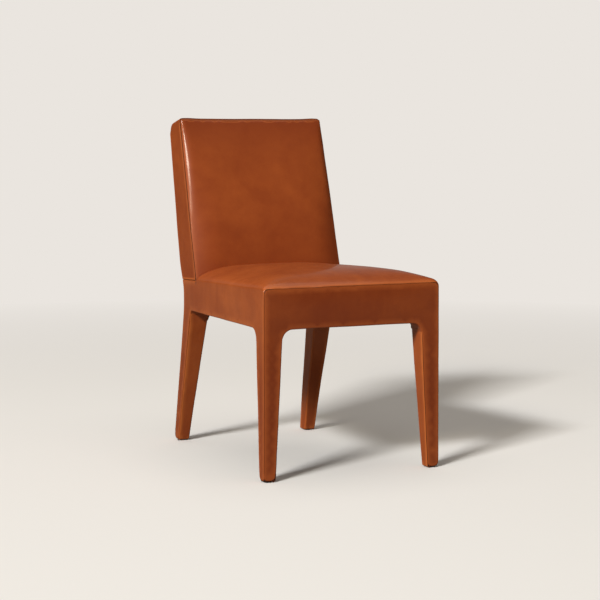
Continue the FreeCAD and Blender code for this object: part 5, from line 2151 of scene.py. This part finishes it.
@dataclass
class Studio:
    """Floor, light and camera of the photograph.

    Attributes:
        shape: Main lines of the chair.
        lens: Focal length of the camera, in millimetres.
        camera_place: Across, depth and height of the camera.
        camera_pitch: Degrees that it looks down.
        camera_turn: Degrees that it looks to the right.
        middle: What the lamps are turned to.
        paper: Colour of the floor.
        floor_bounce: Colour of the floor in the light that it throws up and in reflections.
        floor_radius: Radius of the floor.
        floor_fade: Distances between which the floor fades into the background.
        haze: Colour of the background.
        key_way: Direction to the main light.
        key_light: How brightly the main light shows a white surface that faces it.
        key_spread: Width and height of the main light, over its distance.
        key_tint: Colour of the main light.
        low_way: Direction to the warm second light.
        low_light: How brightly it shows a white surface.
        low_spread: Its width and height, over its distance.
        low_tint: Its colour.
        lamp_distance: Distance of both lights.
        overhead_height: Height of the lamp overhead.
        overhead_width: Width of that lamp.
        overhead_power: Power of that lamp, in watts.
        sky_light: Brightness of the light from all round.
        sky_tint: Its colour.
    """

    shape: ChairShape
    lens: float = 104.81
    camera_place: Triple = (-2.0374, -3.9147, 0.86916)
    camera_pitch: float = 5.42
    camera_turn: float = 25.72
    middle: Triple = (0.0, 0.0, 0.45)
    paper: Colour = (0.832, 0.819, 0.803)
    floor_bounce: Colour = (0.30, 0.25, 0.20)
    floor_radius: float = 30.0
    floor_fade: Row = (1.6, 4.5)
    haze: Colour = (0.823, 0.783, 0.738)
    key_way: Triple = (-0.715, -0.447, 0.5375)
    key_light: float = 0.97
    key_spread: Row = (0.20, 0.10)
    key_tint: Colour = (1.0, 1.0, 0.99)
    low_way: Triple = (-0.709, -0.526, 0.469)
    low_light: float = 0.23
    low_spread: Row = (0.24, 0.12)
    low_tint: Colour = (1.0, 0.88, 0.66)
    lamp_distance: float = 30.0
    overhead_height: float = 6.0
    overhead_width: float = 6.0
    overhead_power: float = 112.0
    sky_light: float = 0.12
    sky_tint: Colour = (1.0, 0.93, 0.84)

    def build(self) -> None:
        """Build the whole studio."""
        self.floor()
        self.air()
        self.lamps()
        self.camera()

    def floor(self) -> None:
        """Build a wide round floor whose far part fades into the background."""
        turns = [math.tau * share for share in even(48)[:-1]]
        ring = [(self.floor_radius * math.cos(turn), self.floor_radius * math.sin(turn), 0.0)
                for turn in turns]
        faces = [(0, index, index % len(ring) + 1) for index in range(1, len(ring) + 1)]
        data = bpy.data.meshes.new("studio_floor")
        data.from_pydata([(0.0, 0.0, 0.0)] + ring, [], faces)
        floor = placed("studio_floor", data)
        graph = Graph.material("studio_paper")
        shade = graph.mixed(graph.noise(2.5, 2.0) * 0.06, self.paper,
                            tuple(part * 0.93 for part in self.paper))
        paper = graph.node("ShaderNodeBsdfDiffuse", {}, {"Color": shade})
        dull = graph.node("ShaderNodeBsdfDiffuse", {}, {"Color": (*self.floor_bounce, 1.0)})
        far = graph.node("ShaderNodeEmission", {}, {"Color": (*self.haze, 1.0), "Strength": 1.0})
        reach = graph.node("ShaderNodeVectorMath", {"operation": "LENGTH"}, {0: graph.place()},
                           "Value")
        shown = graph.shader_mix(reach.clipped(*self.floor_fade), paper, far)
        floor.data.materials.append(graph.close(graph.shader_mix(graph.seen(0.0), dull, shown)))
        floor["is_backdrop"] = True

    def air(self) -> None:
        """Set the light from all round, and the pale background."""
        graph = Graph(bpy.data.worlds.new("studio_air"))
        light = graph.node("ShaderNodeBackground", {},
                           {"Color": (*self.sky_tint, 1.0), "Strength": self.sky_light})
        way = graph.node("ShaderNodeTexCoord", {}, {}, "Generated")
        side = graph.node("ShaderNodeVectorMath", {"operation": "DOT_PRODUCT"},
                          {0: way, 1: (0.43, 0.89, 0.15)}, "Value")
        mirrored = graph.node("ShaderNodeLightPath", {}, {}, "Is Glossy Ray")
        dimmed = 1.0 - mirrored * (0.97 - side.clipped(0.80, 0.985) * 0.34)
        shown = graph.node("ShaderNodeBackground", {},
                           {"Color": (*self.haze, 1.0), "Strength": dimmed})
        bpy.context.scene.world = graph.close(graph.shader_mix(graph.seen(), light, shown))

    def lamps(self) -> None:
        """Set the main light and the soft lamps."""
        for name, way, light, spread, tint in (
                ("key", self.key_way, self.key_light, self.key_spread, self.key_tint),
                ("low", self.low_way, self.low_light, self.low_spread, self.low_tint)):
            place = Vector(self.middle) + Vector(way).normalized() * self.lamp_distance
            power = light * (math.pi * self.lamp_distance) ** 2
            size = (spread[0] * self.lamp_distance, spread[1] * self.lamp_distance)
            self.lamp(name, place, size, power, tint)
        self.lamp("overhead", Vector((0.0, 0.0, self.overhead_height)),
                  (self.overhead_width, self.overhead_width), self.overhead_power, self.sky_tint)

    def lamp(self, name: str, place: Vector, size: Row, power: float, tint: Colour) -> None:
        """Set one soft lamp, turned to the middle of the chair."""
        data = bpy.data.lights.new(name, "AREA")
        data.shape = "RECTANGLE"
        data.size, data.size_y = size
        data.energy = power
        data.color = tint
        lamp = placed(name, data)
        lamp.location = place
        lamp.rotation_euler = (Vector(self.middle) - place).to_track_quat("-Z", "Y").to_euler()
        lamp.visible_camera = False

    def camera(self) -> None:
        """Set the camera at the photograph's viewing angle."""
        data = bpy.data.cameras.new("camera")
        data.lens = self.lens
        data.sensor_width = 36.0
        data.clip_end = 60.0
        camera = placed("camera", data)
        across, depth, height = self.camera_place
        camera.location = (across, self.shape.y(depth), height)
        camera.rotation_euler = (math.radians(90 - self.camera_pitch), 0.0,
                                 math.radians(-self.camera_turn))
        bpy.context.scene.camera = camera


def settled(piece: bpy.types.Object, material: bpy.types.Material, node: str) -> None:
    """Dress a piece, and let it ride on the chair in place of its CAD node."""
    piece.data.materials.append(material)
    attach(piece, ROOT)
    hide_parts(node)
    LOG.info("built %s in place of %s", piece.name, node)


def main() -> None:
    """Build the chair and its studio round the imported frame."""
    logging.basicConfig(level=logging.INFO, format="%(name)s: %(message)s")
    noise.seed_set(NOISE_START)
    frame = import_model()
    cad_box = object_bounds()
    shape = ChairShape(front=cad_box[0].y - 0.0008)
    finishes = Finishes()
    finishes.dress_nodes(frame)

    seat = SeatCushion(shape)
    seat_leather, seat_foam = seat.build()
    back = BackCushion(shape)
    back_leather, back_foam = back.build()
    leather_pieces = [
        (seat_leather, Panel.SEAT, "seat_cover"),
        (FrontApron(shape, seat).build(), Panel.FRONT, "front_cover"),
        (RearApron(shape).build(), Panel.REAR, "rear_cover"),
        (back_leather, Panel.BACK, "back_front_cover"),
        (BackBoxing(shape, back).build(), Panel.BOXING, "back_boxing"),
        (OutsideBack(shape).build(), Panel.REAR, "outside_back_panel"),
    ]
    for sleeve in LegSleeves(shape).build():
        node = sleeve.name.replace("leg_lining", "leg_sleeve")
        leather_pieces.append((sleeve, Panel.LEGS, node))
    for piece, panel, node in leather_pieces:
        settled(piece, finishes.leather[panel], node)
    for pad, node in ((seat_foam, "seat_foam"), (back_foam, "back_foam")):
        settled(pad, finishes.foam, node)
    wadding = RearPadding(shape).build()
    settled(wadding, finishes.wadding, "back_rear_padding")

    cloth, cloth_area, cloth_size = DustCover(shape).build()
    settled(cloth, finishes.dust_cloth, "dust_cover")

    Studio(shape).build()
    view = bpy.context.scene.view_settings
    view.view_transform = "Standard"


if __name__ == "__main__":
    main()
